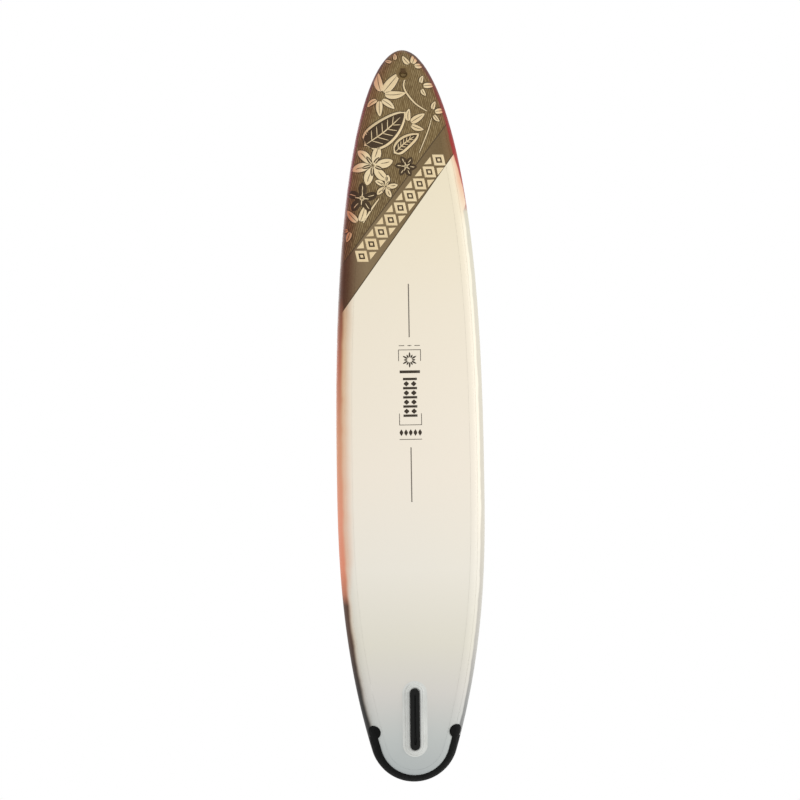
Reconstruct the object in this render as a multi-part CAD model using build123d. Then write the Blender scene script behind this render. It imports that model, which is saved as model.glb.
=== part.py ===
from build123d import *
import os
from itertools import pairwise
from math import asin, atan2, cos, degrees, radians, sin, sqrt

# An inflatable touring paddleboard lying on its bottom, deck up. Millimetres.
# +X points to the nose, +Y to the left side, +Z up. The origin is under the middle of the board,
# on the surface that its flat bottom rests on.

# Hull
LENGTH = 3810.0
WIDTH = 762.0
THICKNESS = 152.4
HALF = THICKNESS / 2
SKIN = 1.2
BAND = 0.9
GLUE = 0.2
SKIN_EDGE = 0.6
RAIL_R = HALF + GLUE + BAND
BAND_ANGLE = 62.0

# Plan outline: widest point, fullness of the nose, and a round tail
WIDEST_X = -370.0
NOSE_POWER = 2.5
TAIL_R = 228.0
TAIL_JOIN = 165.0
NOSE_STEPS = 24
BODY_STEPS = 10
TAIL_STEPS = 8

# Rocker of the mid-surface: flat in the middle, one arc to the tail, two arcs to the nose
FLAT_BACK = -600.0
FLAT_FRONT = 500.0
NOSE_BREAK = 1200.0
TAIL_ROCKER_R = 12000.0
NOSE_ROCKER_R = 6000.0
NOSE_TIP_R = 3000.0

# Where the deck skin and side walls are cut across, so that each length is nearly straight
CUTS = (-1905, -1500, -1200, -900, -600, 500, 730, 970, 1200, 1380, 1560, 1730, 1905)

# Drop-stitch threads, as bundles
THREAD_R = 1.5
THREAD_PITCH_X = 275.0
THREAD_PITCH_Y = 105.0
THREAD_EDGE = 35.0

# Rubber strip round the tail
STRIP_X = -1640.0
STRIP_THICK = 2.5
STRIP_ANGLES = (-68.0, -22.0)
STRIP_DISC_R = 36.0
STRIP_DISC_ANGLE = -58.0
STRIP_DISC_THICK = 2.8

# Fin box and what it is glued down with
FIN_X = -1564.0
BOX_LENGTH = 321.0
BOX_WIDTH = 47.0
BOX_HEIGHT = 20.0
BOX_LIFT = 1.8
SLOT_LENGTH = 262.0
SLOT_WIDTH = 9.6
SLOT_DEPTH = 16.0
SLOT_MOUTH = 24.0
CHANNEL_SIZE = (252.0, 14.6, 4.5)
CHANNEL_HEIGHT = 9.0
BOX_ROUND = 4.0
FIN_PATCH = (392.0, 128.0)
FIN_WELT = (372.0, 98.0)
WELT_HEIGHT = 6.0
WELT_CHAMFER = 2.0

# D-rings
RING_PATCH_R = 37.0
PATCH_THICK = 1.0
LOOP_WIDTH = 25.0
LOOP_LENGTH = 26.0
LOOP_THICK = 1.2
WIRE_R = 2.5
RING_HALF = 17.5
RING_LEG = 8.0
RING_CORNER = 5.0
BAR_CLEAR = 0.4
BAR_HEIGHT = PATCH_THICK + 2 * GLUE + WIRE_R + BAR_CLEAR + LOOP_THICK + 0.3
NOSE_RING_X = 1749.0
LEASH_RING_X = -1760.0
CARGO_X = (780.0, 1240.0)
CARGO_Y = (215.0, 150.0)

# Deck pad
PAD_THICK = 4.8
PAD_BACK = -1110.0
PAD_FRONT = 640.0
PAD_INSET = 26.0
PAD_CORNER = 150.0
TAIL_PAD_BACK = -1480.0
PAD_GROOVE = 12.0
KICK_X = -1385.0
KICK_LENGTH = 120.0
KICK_WIDTH = 330.0
KICK_HEIGHT = 22.0
KICK_BACK = 6.0
KICK_CREST = 26.0
KICK_TOE = 3.0
KICK_ROUND = 4.0

# Carry handle, lengthwise at the balance point
HANDLE_X = -40.0
HANDLE_WELL = (390.0, 130.0)
HANDLE_FOOT = 115.0
HANDLE_TOP = 45.0
TAB_LENGTH = 42.0
STRAP_WIDTH = 38.0
STRAP_THICK = 2.4
GRIP_ANGLE = 19.0
GRIP_WIDTH = 46.0
GRIP_THICK = 18.0
GRIP_ROUND = 5.0

# Valve
VALVE_X = -1590.0
VALVE_HOLE_R = 19.5
VALVE_NECK_R = 18.8
VALVE_BORE_R = 15.0
VALVE_DEPTH = 28.0
FLANGE_R = 32.0
FLANGE_TOP = 4.0
NECK_TOP = 7.0
SEAT_R = 11.0
STEM_R = 3.0
BUTTON_R = 6.0
BUTTON_TOP = -4.0
SPRING_SPAN = (-17.8, -6.2)
SEAL_R = 13.5
PLUG_R = 13.6
CAP_R = 22.0
CAP_THICK = 4.0
KNOB_R = 3.0
KNOB_HEIGHT = 5.0


def rocker(x):
    """Height and slope angle of the mid-surface at x."""
    if x < FLAT_BACK:
        angle = -asin((FLAT_BACK - x) / TAIL_ROCKER_R)
        return HALF + TAIL_ROCKER_R * (1 - cos(angle)), angle
    if x <= FLAT_FRONT:
        return HALF, 0.0
    angle = asin((min(x, NOSE_BREAK) - FLAT_FRONT) / NOSE_ROCKER_R)
    height = HALF + NOSE_ROCKER_R * (1 - cos(angle))
    if x <= NOSE_BREAK:
        return height, angle
    steep = asin(sin(angle) + (x - NOSE_BREAK) / NOSE_TIP_R)
    return height + NOSE_TIP_R * (cos(angle) - cos(steep)), steep


def directions(x):
    """Unit vectors along the board and out of its deck at x."""
    angle = rocker(x)[1]
    return Vector(cos(angle), 0, sin(angle)), Vector(-sin(angle), 0, cos(angle))


def on_hull(x, offset, y=0.0):
    """The point that lies offset above the mid-surface, square to it, at x."""
    return Vector(x, y, rocker(x)[0]) + directions(x)[1] * offset


def hull_plane(x, side, y=0.0, turn=0.0):
    """A plane on the deck (side 1) or on the bottom (side -1), facing outwards."""
    along, up = directions(x)
    facing = up * side
    across = facing.cross(along)
    forward = along * cos(radians(turn)) + across * sin(radians(turn))
    return Plane(origin=on_hull(x, side * HALF, y), x_dir=forward, z_dir=facing)


def nose_station(step):
    """A point of the plan outline ahead of the widest point, with its outward direction."""
    span = LENGTH / 2 - WIDEST_X
    share = 1 - (1 - step / NOSE_STEPS) ** 2
    width = sqrt(1 - share**NOSE_POWER)
    normal = Vector(
        WIDTH / 2 * NOSE_POWER * share ** (NOSE_POWER - 1), 2 * span * width
    )
    return WIDEST_X + span * share, WIDTH / 2 * width, normal.normalized()


def body_station(x):
    """A point of the plan outline between the widest point and the round tail."""
    reach = WIDEST_X + LENGTH / 2 - TAIL_JOIN
    join_width = sqrt(TAIL_R**2 - (TAIL_R - TAIL_JOIN) ** 2)
    drop = WIDTH / 2 - join_width
    power = (TAIL_R - TAIL_JOIN) / join_width * reach / drop
    share = (WIDEST_X - x) / reach
    slope = drop * power * share ** (power - 1) / reach
    return x, WIDTH / 2 - drop * share**power, Vector(-slope, 1).normalized()


def tail_station(step):
    """A point of the plan outline on the round tail; the last step is on the centreline."""
    join = atan2(
        sqrt(TAIL_R**2 - (TAIL_R - TAIL_JOIN) ** 2), -(TAIL_R - TAIL_JOIN)
    )
    angle = join + (radians(180) - join) * step / TAIL_STEPS
    normal = Vector(cos(angle), sin(angle) if step < TAIL_STEPS else 0.0)
    return (
        TAIL_R - LENGTH / 2 + TAIL_R * normal.X,
        TAIL_R * normal.Y,
        normal,
    )


def left_outline():
    """Stations of the left half of the plan outline, from the nose tip to the tail."""
    reach = WIDEST_X + LENGTH / 2 - TAIL_JOIN
    nose = [nose_station(step) for step in range(NOSE_STEPS, -1, -1)]
    body = [
        body_station(WIDEST_X - reach * step / BODY_STEPS)
        for step in range(1, BODY_STEPS + 1)
    ]
    tail = [tail_station(step) for step in range(1, TAIL_STEPS + 1)]
    return nose + body + tail


def mirrored(station):
    """The same station on the right side."""
    x, y, normal = station
    return x, -y, Vector(normal.X, -normal.Y)


def rail_plane(station):
    """The plane square to the rail at a station, centred on the rail's half circle."""
    x, y, normal = station
    centre_x = x - RAIL_R * normal.X
    along, up = directions(centre_x)
    out = along * (normal.X * along.X) + Vector(0, normal.Y, 0)
    out = out.normalized()
    origin = on_hull(centre_x, 0, y - RAIL_R * normal.Y)
    return Plane(origin=origin, x_dir=out, z_dir=out.cross(up))


def ring_sector(inner, outer, start, end):
    """A flat face between two arcs about the origin, with angles in degrees."""
    near = CenterArc((0, 0), inner, start, end - start)
    far = CenterArc((0, 0), outer, start, end - start)
    return make_face([near, far, Line(near @ 0, far @ 0), Line(near @ 1, far @ 1)])


def rail_layer(stations, inner, outer, start, end):
    """A layer that follows the rail through the stations."""
    section = ring_sector(inner, outer, start, end)
    return loft([rail_plane(station) * section for station in stations], ruled=True)


def panel_plan(offset, inset, back=-LENGTH / 2, front=LENGTH / 2):
    """Plan of the flat panel inside the rails, for a layer at an offset from the mid-surface."""
    left = []
    for x, y, normal in left_outline():
        if back <= x <= front:
            centre_x = x - (RAIL_R + inset) * normal.X
            point = on_hull(centre_x, offset)
            left.append((point.X, max(0.0, y - (RAIL_R + inset) * normal.Y)))
    right = [(x, -y) for x, y in reversed(left) if y > 0]
    return Sketch() + make_face(Polyline(*left, *right, close=True))


def hull_profile(offset):
    """Side view of a surface at an offset from the mid-surface, from the tail to the nose."""
    breaks = (-LENGTH / 2, FLAT_BACK, FLAT_FRONT, NOSE_BREAK, LENGTH / 2)
    edges = []
    for start, end in pairwise(breaks):
        points = [on_hull(x, offset) for x in (start, (start + end) / 2, end)]
        straight = start == FLAT_BACK
        edges.append(
            Line(points[0], points[2]) if straight else ThreePointArc(*points)
        )
    return edges


def layer(low, high, plan):
    """A sheet between two offsets from the mid-surface, trimmed to a plan."""
    lower = hull_profile(low)
    upper = hull_profile(high)
    ends = [Line(lower[0] @ 0, upper[0] @ 0), Line(lower[-1] @ 1, upper[-1] @ 1)]
    side = make_face([*lower, *upper, *ends])
    band = extrude(side, amount=WIDTH / 2, dir=(0, 1, 0), both=True)
    prism = extrude(Pos(0, 0, -HALF) * plan, amount=4 * THICKNESS)
    return band & prism


def bottom_skin():
    """Lower face of the drop-stitch panel."""
    return layer(-HALF, SKIN - HALF, panel_plan(-HALF, SKIN_EDGE))


def deck_skin():
    """Lengths of the upper face of the drop-stitch panel, with the hole for the valve."""
    skin = layer(HALF - SKIN, HALF, panel_plan(HALF, SKIN_EDGE))
    skin -= hull_plane(VALVE_X, 1) * Cylinder(VALVE_HOLE_R, 6 * SKIN)
    lengths = []
    for back, front in pairwise(CUTS):
        slab = Box(front - back, WIDTH, 4 * THICKNESS)
        lengths.append(skin & Pos((back + front) / 2, 0, THICKNESS) * slab)
    return lengths


def side_wall():
    """Lengths of the half-round wall on the left side."""
    stations = left_outline()
    marks = []
    for cut in reversed(CUTS):
        gaps = [abs(station[0] - cut) for station in stations]
        marks.append(gaps.index(min(gaps)))
    return [
        rail_layer(stations[first : last + 1], HALF - SKIN, HALF, -90, 90)
        for first, last in pairwise(marks)
    ]


def threads():
    """Thread bundles that hold the two faces of the hull apart."""
    length = 2 * (HALF - SKIN - GLUE)
    columns = int(LENGTH / 2 // THREAD_PITCH_X)
    bundles = []
    for column in range(-columns + 1, columns):
        x = column * THREAD_PITCH_X
        width = max(y for at, y in inner_points() if abs(at - x) < THREAD_PITCH_X / 2)
        rows = int((width - THREAD_EDGE) // THREAD_PITCH_Y)
        along, up = directions(x)
        for row in range(-rows, rows + 1):
            centre = on_hull(x, 0, row * THREAD_PITCH_Y)
            plane = Plane(origin=centre, x_dir=along, z_dir=up)
            bundles.append(plane * Cylinder(THREAD_R, length))
    return bundles


def inner_points():
    """Points of the left edge of the flat panel, in plan."""
    return [(x - RAIL_R * n.X, y - RAIL_R * n.Y) for x, y, n in left_outline()]


def tail_strip():
    """Rubber strip under the tail's edge, with a round pad at each end."""
    inner = RAIL_R + GLUE
    outer = inner + STRIP_THICK
    left = [body_station(STRIP_X), body_station(TAIL_JOIN - LENGTH / 2)]
    left += [tail_station(step) for step in range(1, TAIL_STEPS + 1)]
    around = left + [mirrored(station) for station in reversed(left[:-1])]
    strip = rail_layer(around, inner, outer, *STRIP_ANGLES)
    reach = degrees(STRIP_DISC_R / inner) * 1.2
    sector = ring_sector(
        inner, inner + STRIP_DISC_THICK, STRIP_DISC_ANGLE - reach, STRIP_DISC_ANGLE + reach
    )
    block = extrude(sector, amount=2 * STRIP_DISC_R, both=True)
    facing = Vector(1, 0, 0).rotate(Axis.Z, STRIP_DISC_ANGLE)
    bore = Plane(origin=(0, 0, 0), z_dir=facing) * extrude(
        Circle(STRIP_DISC_R), amount=2 * outer
    )
    pad = block & bore
    for station in (around[0], around[-1]):
        strip += rail_plane(station) * pad
    return strip


def fin_patch():
    """Flat base patch under the fin box."""
    plan = Pos(FIN_X, 0) * SlotOverall(*FIN_PATCH)
    return layer(-HALF - GLUE - PATCH_THICK, -HALF - GLUE, plan)


def fin_welt():
    """Raised ring round the fin box that ties its flange down to the patch."""
    plane = hull_plane(FIN_X, -1)
    ring = SlotOverall(*FIN_WELT) - SlotOverall(BOX_LENGTH + 1, BOX_WIDTH + 1)
    welt = extrude(Pos(0, 0, BOX_LIFT) * ring, amount=WELT_HEIGHT)
    rim = welt.faces().sort_by(Axis.Z)[-1].outer_wire().edges()
    return plane * chamfer(rim, WELT_CHAMFER)


def fin_box():
    """Moulded box with a long slot that takes the base of a fin, open at its outer face."""
    plane = hull_plane(FIN_X, -1)
    box = extrude(SlotOverall(BOX_LENGTH, BOX_WIDTH), amount=BOX_HEIGHT - BOX_LIFT)
    box = Pos(0, 0, BOX_LIFT) * box
    box = fillet(box.edges().group_by(Axis.Z)[-1], BOX_ROUND)
    top = Pos(0, 0, BOX_HEIGHT)
    slot = extrude(top * SlotOverall(SLOT_LENGTH, SLOT_WIDTH), amount=-SLOT_DEPTH)
    mouth = Pos(-SLOT_LENGTH / 2 + SLOT_MOUTH, 0, BOX_HEIGHT) * extrude(
        Rectangle(SLOT_MOUTH, CHANNEL_SIZE[1]), amount=-SLOT_DEPTH / 2
    )
    channel = Pos(0, 0, CHANNEL_HEIGHT) * Box(*CHANNEL_SIZE)
    return plane * (box - slot - mouth - channel)


def ring_patch(plane_x, side, y=0.0):
    """Round patch that carries a D-ring."""
    centre = on_hull(plane_x, side * HALF, y)
    plan = Pos(centre.X, centre.Y) * Circle(RING_PATCH_R)
    low = HALF + GLUE
    offsets = (low, low + PATCH_THICK) if side > 0 else (-low - PATCH_THICK, -low)
    return layer(*offsets, plan)


def ring_loop():
    """Webbing loop round the bar of a D-ring; the ring's bow lies towards +X."""
    bore = WIRE_R + BAR_CLEAR
    outer = bore + LOOP_THICK
    base = BAR_HEIGHT - outer
    tail = make_face(
        Polyline(
            (-LOOP_LENGTH, base),
            (0, base),
            (0, base + 2 * outer),
            (-LOOP_LENGTH, base + 2 * LOOP_THICK),
            close=True,
        )
    )
    side = tail + Pos(0, BAR_HEIGHT) * Circle(outer)
    side -= Pos(0, BAR_HEIGHT) * Circle(bore)
    return extrude(Plane.XZ * side, amount=LOOP_WIDTH / 2, both=True)


def d_ring():
    """Welded wire D-ring lying flat, its bar on the Y axis and its bow towards +X."""
    outline = make_face(
        [
            Line((0, -RING_HALF), (0, RING_HALF)),
            Line((0, RING_HALF), (RING_LEG, RING_HALF)),
            ThreePointArc(
                (RING_LEG, RING_HALF),
                (RING_LEG + RING_HALF, 0),
                (RING_LEG, -RING_HALF),
            ),
            Line((RING_LEG, -RING_HALF), (0, -RING_HALF)),
        ]
    )
    outline = fillet(outline.vertices().group_by(Axis.X)[0], RING_CORNER)
    path = Pos(0, 0, BAR_HEIGHT) * outline.wires()[0]
    start = Plane(origin=path @ 0, z_dir=path % 0)
    return sweep(start * Circle(WIRE_R), path=path)


def cargo_planes():
    """Where the four cargo rings sit, with their bows towards the middle of the deck."""
    planes = []
    for x, y in zip(CARGO_X, CARGO_Y):
        planes += [hull_plane(x, 1, y, -90), hull_plane(x, 1, -y, 90)]
    return planes


def pad_plan(back, front, corner):
    """Plan of a piece of deck pad between two cross lines, inset from the rails."""
    height = HALF + GLUE
    panel = panel_plan(height, PAD_INSET, back - 400, front + 400)
    length = front - back
    return panel & Pos((back + front) / 2, 0) * RectangleRounded(
        length, WIDTH - 2 * RAIL_R, corner
    )


def deck_pad():
    """Main foam standing pad, with a well for the carry handle."""
    plan = pad_plan(PAD_BACK, PAD_FRONT, PAD_CORNER)
    plan -= Pos(HANDLE_X, 0) * RectangleRounded(*HANDLE_WELL, HANDLE_WELL[1] / 2 - 5)
    return layer(HALF + GLUE, HALF + GLUE + PAD_THICK, plan)


def tail_pad():
    """Foam pad behind the main one."""
    plan = pad_plan(TAIL_PAD_BACK, PAD_BACK - PAD_GROOVE, PAD_CORNER / 2)
    return layer(HALF + GLUE, HALF + GLUE + PAD_THICK, plan)


def kick_pad():
    """Raised foam block on the tail pad, steep at the back."""
    base = PAD_THICK + 3 * GLUE
    half = KICK_LENGTH / 2
    side = make_face(
        Polyline(
            (-half, base),
            (-half + KICK_BACK, base + KICK_HEIGHT),
            (-half + KICK_CREST, base + KICK_HEIGHT),
            (half, base + KICK_TOE),
            (half, base),
            close=True,
        )
    )
    block = extrude(Plane.XZ * side, amount=KICK_WIDTH / 2, both=True)
    block = fillet(block.edges().group_by(Axis.Z)[-1], KICK_ROUND)
    return hull_plane(KICK_X, 1) * block


def handle_arc():
    """Radius and end angle of the handle's arch, and the height of its centre."""
    foot = GLUE * 2 + PATCH_THICK + STRAP_THICK / 2
    rise = HANDLE_TOP - foot
    radius = (HANDLE_FOOT**2 + rise**2) / (2 * rise)
    return radius, degrees(asin(HANDLE_FOOT / radius)), HANDLE_TOP - radius, foot


def handle_patches():
    """The two patches under the ends of the handle's strap."""
    patches = []
    for end in (-1, 1):
        centre = HANDLE_X + end * (HANDLE_FOOT + TAB_LENGTH / 2 + 2)
        plan = Pos(centre, 0) * RectangleRounded(TAB_LENGTH + 16, STRAP_WIDTH + 44, 12)
        patches.append(layer(HALF + GLUE, HALF + GLUE + PATCH_THICK, plan))
    return patches


def handle_webbing():
    """Strap of the carry handle: an arch with a flat tab at each end."""
    radius, angle, centre, foot = handle_arc()
    half = STRAP_THICK / 2
    arch = Pos(0, centre) * ring_sector(radius - half, radius + half, 90 - angle, 90 + angle)
    tab = Rectangle(TAB_LENGTH, STRAP_THICK)
    side = arch + Pos(HANDLE_FOOT + TAB_LENGTH / 2 - 1.5, foot) * tab
    side += Pos(-HANDLE_FOOT - TAB_LENGTH / 2 + 1.5, foot) * tab
    strap = extrude(Plane.XZ * side, amount=STRAP_WIDTH / 2, both=True)
    return hull_plane(HANDLE_X, 1) * strap


def handle_grip():
    """Padded sleeve round the middle of the strap."""
    radius, _, centre, _ = handle_arc()
    sector = ring_sector(
        radius - GRIP_THICK / 2, radius + GRIP_THICK / 2, 90 - GRIP_ANGLE, 90 + GRIP_ANGLE
    )
    sleeve = extrude(Plane.XZ * (Pos(0, centre) * sector), amount=GRIP_WIDTH / 2, both=True)
    sides = sleeve.faces().sort_by(Axis.Y)
    rim = sides[0].edges() + sides[-1].edges()
    sleeve = fillet(rim, GRIP_ROUND)
    half = STRAP_THICK / 2 + GLUE
    hollow = Pos(0, centre) * ring_sector(
        radius - half, radius + half, 85 - GRIP_ANGLE, 95 + GRIP_ANGLE
    )
    tunnel = extrude(Plane.XZ * hollow, amount=STRAP_WIDTH / 2 + GLUE, both=True)
    return hull_plane(HANDLE_X, 1) * (sleeve - tunnel)


def turned(*points):
    """A solid of revolution about Z from points given as radius and height."""
    return revolve(Plane.XZ * make_face(Polyline(*points, close=True)), axis=Axis.Z)


def valve_patch():
    """Round patch under the valve's flange."""
    centre = on_hull(VALVE_X, HALF)
    plan = Pos(centre.X, 0) * (Circle(50) - Circle(VALVE_HOLE_R + 1))
    return layer(HALF + GLUE, HALF + GLUE + PATCH_THICK, plan)


def valve_body():
    """Valve housing: flange, neck, seat at the bottom and a spider that guides the stem."""
    base = PATCH_THICK + 2 * GLUE + 0.2
    shell = turned(
        (VALVE_BORE_R, NECK_TOP),
        (24, NECK_TOP),
        (24, FLANGE_TOP),
        (FLANGE_R, FLANGE_TOP),
        (FLANGE_R, base),
        (VALVE_NECK_R, base),
        (VALVE_NECK_R, -VALVE_DEPTH),
        (SEAT_R, -VALVE_DEPTH),
        (SEAT_R, -VALVE_DEPTH + 2),
        (VALVE_BORE_R, -VALVE_DEPTH + 4),
    )
    hub = turned((STEM_R + 0.3, -22), (6, -22), (6, -18), (STEM_R + 0.3, -18))
    arm = Pos((5 + VALVE_BORE_R) / 2 + 0.5, 0, -20) * Box(VALVE_BORE_R - 4, 2.5, 4)
    spider = hub + [Rot(0, 0, turn) * arm for turn in (60, 180, 300)]
    return shell + spider


def valve_nut():
    """Ring nut that clamps the deck skin from inside."""
    ring = extrude(RegularPolygon(31, 12) - Circle(VALVE_NECK_R + 0.1), amount=-6)
    return Pos(0, 0, -SKIN - 2 * GLUE) * ring


def valve_stem():
    """Plunger with a push button on top and a foot that carries the seal."""
    return turned(
        (0, BUTTON_TOP),
        (BUTTON_R, BUTTON_TOP),
        (BUTTON_R, BUTTON_TOP - 2),
        (STEM_R, BUTTON_TOP - 2),
        (STEM_R, -28.4),
        (4.5, -28.4),
        (4.5, -29.4),
        (STEM_R, -29.4),
        (STEM_R, -32.4),
        (6, -32.4),
        (6, -33.4),
        (0, -33.4),
    )


def valve_seal():
    """Rubber disc that closes on the seat from below."""
    return turned(
        (STEM_R + 0.1, -29.6), (SEAL_R, -28.3), (SEAL_R, -30.8), (STEM_R + 0.1, -32.2)
    )


def valve_spring():
    """The return spring's outer shape, between the spider and the button."""
    low, high = SPRING_SPAN
    return turned((STEM_R + 0.4, low), (5.4, low), (5.4, high), (STEM_R + 0.4, high))


def valve_cap():
    """Cap with a plug that fills the mouth, a grooved rim and a knob for its tether."""
    base = NECK_TOP + 2 * GLUE
    top = base + CAP_THICK
    cap = turned(
        (0, top + KNOB_HEIGHT),
        (KNOB_R, top + KNOB_HEIGHT),
        (KNOB_R, top),
        (CAP_R, top),
        (CAP_R, base),
        (PLUG_R, base),
        (PLUG_R, 4.2),
        (12.2, 4.2),
        (12.2, 1.8),
        (PLUG_R, 1.8),
        (PLUG_R, -1),
        (11, -1),
        (11, base - 1),
        (0, base - 1),
    )
    notch = Pos(CAP_R, 0, base + CAP_THICK / 2) * Cylinder(1.2, CAP_THICK + 2)
    return cap - [Rot(0, 0, turn) * notch for turn in range(0, 360, 20)]


def valve_cap_seal():
    """O-ring in the groove of the cap's plug."""
    return turned((12.4, 2.0), (14.7, 2.0), (14.7, 4.0), (12.4, 4.0))


def valve_tether():
    """Soft strap from a ring round the valve's neck to a ring round the cap's knob."""
    top = NECK_TOP + 2 * GLUE + CAP_THICK
    low = Pos(0, 0, FLANGE_TOP + 0.4) * extrude(Circle(28.5) - Circle(24.4), amount=1.4)
    high = Pos(0, 0, top + 0.4) * extrude(Circle(7) - Circle(KNOB_R + 0.3), amount=1.4)
    side = make_face(
        Polyline(
            (27, FLANGE_TOP + 0.4),
            (44, FLANGE_TOP + 0.4),
            (47, FLANGE_TOP + 3),
            (47, top - 1),
            (44, top + 1.8),
            (5, top + 1.8),
            (5, top + 0.4),
            (43, top + 0.4),
            (45.6, top - 2),
            (45.6, FLANGE_TOP + 3.6),
            (43, FLANGE_TOP + 1.8),
            (27, FLANGE_TOP + 1.8),
            close=True,
        )
    )
    return low + high + extrude(Plane.XZ * side, amount=4, both=True)


def write(name, *solids):
    """Write one node, made of one or more solids."""
    shape = solids[0] if len(solids) == 1 else Compound(children=list(solids))
    export_step(shape, f"parts/{name}.step")


def write_hull():
    """Write the skins, walls, bands, threads and tail strip."""
    wall = side_wall()
    band = rail_layer(left_outline(), HALF + GLUE, RAIL_R, -BAND_ANGLE, BAND_ANGLE)
    write("bottom_skin", bottom_skin())
    write("deck_skin", *deck_skin())
    write("sidewall_left", *wall)
    write("sidewall_right", *[mirror(length, about=Plane.XZ) for length in wall])
    write("rail_band_left", band)
    write("rail_band_right", mirror(band, about=Plane.XZ))
    write("drop_stitch_threads", *threads())
    write("tail_edge_strip", tail_strip())


def write_bottom_fittings():
    """Write the fin box and the tow ring."""
    write("fin_box_patch", fin_patch())
    write("fin_box_welt", fin_welt())
    write("fin_box", fin_box())
    nose = hull_plane(NOSE_RING_X, -1, turn=180)
    write("nose_ring_patch", ring_patch(NOSE_RING_X, -1))
    write("nose_ring_loop", nose * ring_loop())
    write("nose_ring", nose * d_ring())


def write_deck_fittings():
    """Write the pads, the carry handle and the deck rings."""
    write("deck_pad", deck_pad())
    write("tail_pad", tail_pad())
    write("kick_pad", kick_pad())
    write("handle_patches", *handle_patches())
    write("handle_webbing", handle_webbing())
    write("handle_grip", handle_grip())
    planes = cargo_planes()
    spots = [(x, side * y) for x, y in zip(CARGO_X, CARGO_Y) for side in (1, -1)]
    write("cargo_ring_patches", *[ring_patch(x, 1, y) for x, y in spots])
    write("cargo_ring_loops", *[plane * ring_loop() for plane in planes])
    for number, plane in enumerate(planes, start=1):
        write(f"cargo_ring_{number}", plane * d_ring())
    leash = hull_plane(LEASH_RING_X, 1, turn=180)
    write("leash_ring_patch", ring_patch(LEASH_RING_X, 1))
    write("leash_ring_loop", leash * ring_loop())
    write("leash_ring", leash * d_ring())


def write_valve():
    """Write the inflation valve and its cap."""
    plane = hull_plane(VALVE_X, 1)
    write("valve_patch", valve_patch())
    write("valve_body", plane * valve_body())
    write("valve_nut", plane * valve_nut())
    write("valve_stem", plane * valve_stem())
    write("valve_seal", plane * valve_seal())
    write("valve_spring", plane * valve_spring())
    write("valve_cap", plane * valve_cap())
    write("valve_cap_seal", plane * valve_cap_seal())
    write("valve_tether", plane * valve_tether())


os.makedirs("parts", exist_ok=True)
write_hull()
write_bottom_fittings()
write_deck_fittings()
write_valve()
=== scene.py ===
import math

import bmesh
import bpy
import numpy as np
from mathutils import Matrix, Vector
from mathutils.bvhtree import BVHTree


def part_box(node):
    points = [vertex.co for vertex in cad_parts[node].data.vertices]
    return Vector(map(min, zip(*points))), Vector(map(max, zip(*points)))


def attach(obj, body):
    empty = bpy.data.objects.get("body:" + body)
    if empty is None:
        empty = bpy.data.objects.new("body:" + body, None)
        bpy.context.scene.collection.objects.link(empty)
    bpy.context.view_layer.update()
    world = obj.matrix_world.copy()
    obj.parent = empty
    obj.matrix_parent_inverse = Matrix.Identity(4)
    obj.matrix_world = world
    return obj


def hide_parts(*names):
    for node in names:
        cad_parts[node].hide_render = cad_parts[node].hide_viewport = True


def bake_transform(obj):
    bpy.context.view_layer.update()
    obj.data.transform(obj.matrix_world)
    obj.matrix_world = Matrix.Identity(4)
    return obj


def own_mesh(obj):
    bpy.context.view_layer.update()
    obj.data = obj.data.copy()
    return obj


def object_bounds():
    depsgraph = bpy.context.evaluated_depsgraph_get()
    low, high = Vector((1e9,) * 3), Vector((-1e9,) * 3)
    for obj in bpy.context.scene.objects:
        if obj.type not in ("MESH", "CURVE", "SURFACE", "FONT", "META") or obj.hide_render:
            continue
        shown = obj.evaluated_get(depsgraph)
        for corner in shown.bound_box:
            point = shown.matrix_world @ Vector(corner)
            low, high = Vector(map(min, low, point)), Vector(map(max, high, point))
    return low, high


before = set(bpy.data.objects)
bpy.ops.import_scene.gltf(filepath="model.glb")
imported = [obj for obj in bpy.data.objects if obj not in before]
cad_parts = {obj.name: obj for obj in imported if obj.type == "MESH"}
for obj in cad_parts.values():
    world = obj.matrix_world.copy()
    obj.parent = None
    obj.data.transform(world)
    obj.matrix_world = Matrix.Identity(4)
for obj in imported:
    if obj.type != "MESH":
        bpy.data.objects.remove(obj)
CAD_LOW, CAD_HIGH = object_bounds()

# ---------------------------------------------------------------- hull shape, in metres
# The board lies deck up: +X to the nose, +Y to its left side, +Z up.
LENGTH = CAD_HIGH.x - CAD_LOW.x
WIDTH = CAD_HIGH.y - CAD_LOW.y
HALF = 0.0762
SKIN = 0.0012
RAIL_R = 0.0773
BAND_LIP = 0.0003
GAP = 0.0001  # clearance between layers that lie on each other
BAND_ANGLE = 62.0
WIDEST_X = -0.370
NOSE_POWER = 2.5
TAIL_R = 0.228
TAIL_JOIN = 0.165
FLAT_BACK, FLAT_FRONT, NOSE_BREAK = -0.600, 0.500, 1.200
TAIL_ROCKER_R, NOSE_ROCKER_R, NOSE_TIP_R = 12.0, 6.0, 3.0
NOSE_STEPS, BODY_STEPS, TAIL_STEPS = 72, 36, 28

# The two slanting lines between which the printed band lies: x = start + slope * y
LOWER_START, LOWER_SLOPE = 0.995, 1.375
UPPER_START, UPPER_SLOPE = 1.218, 1.31


def rocker(x):
    """Height and slope angle of the mid-surface at x."""
    if x < FLAT_BACK:
        angle = -math.asin((FLAT_BACK - x) / TAIL_ROCKER_R)
        return HALF + TAIL_ROCKER_R * (1 - math.cos(angle)), angle
    if x <= FLAT_FRONT:
        return HALF, 0.0
    angle = math.asin((min(x, NOSE_BREAK) - FLAT_FRONT) / NOSE_ROCKER_R)
    height = HALF + NOSE_ROCKER_R * (1 - math.cos(angle))
    if x <= NOSE_BREAK:
        return height, angle
    steep = math.asin(math.sin(angle) + (x - NOSE_BREAK) / NOSE_TIP_R)
    return height + NOSE_TIP_R * (math.cos(angle) - math.cos(steep)), steep


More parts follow.
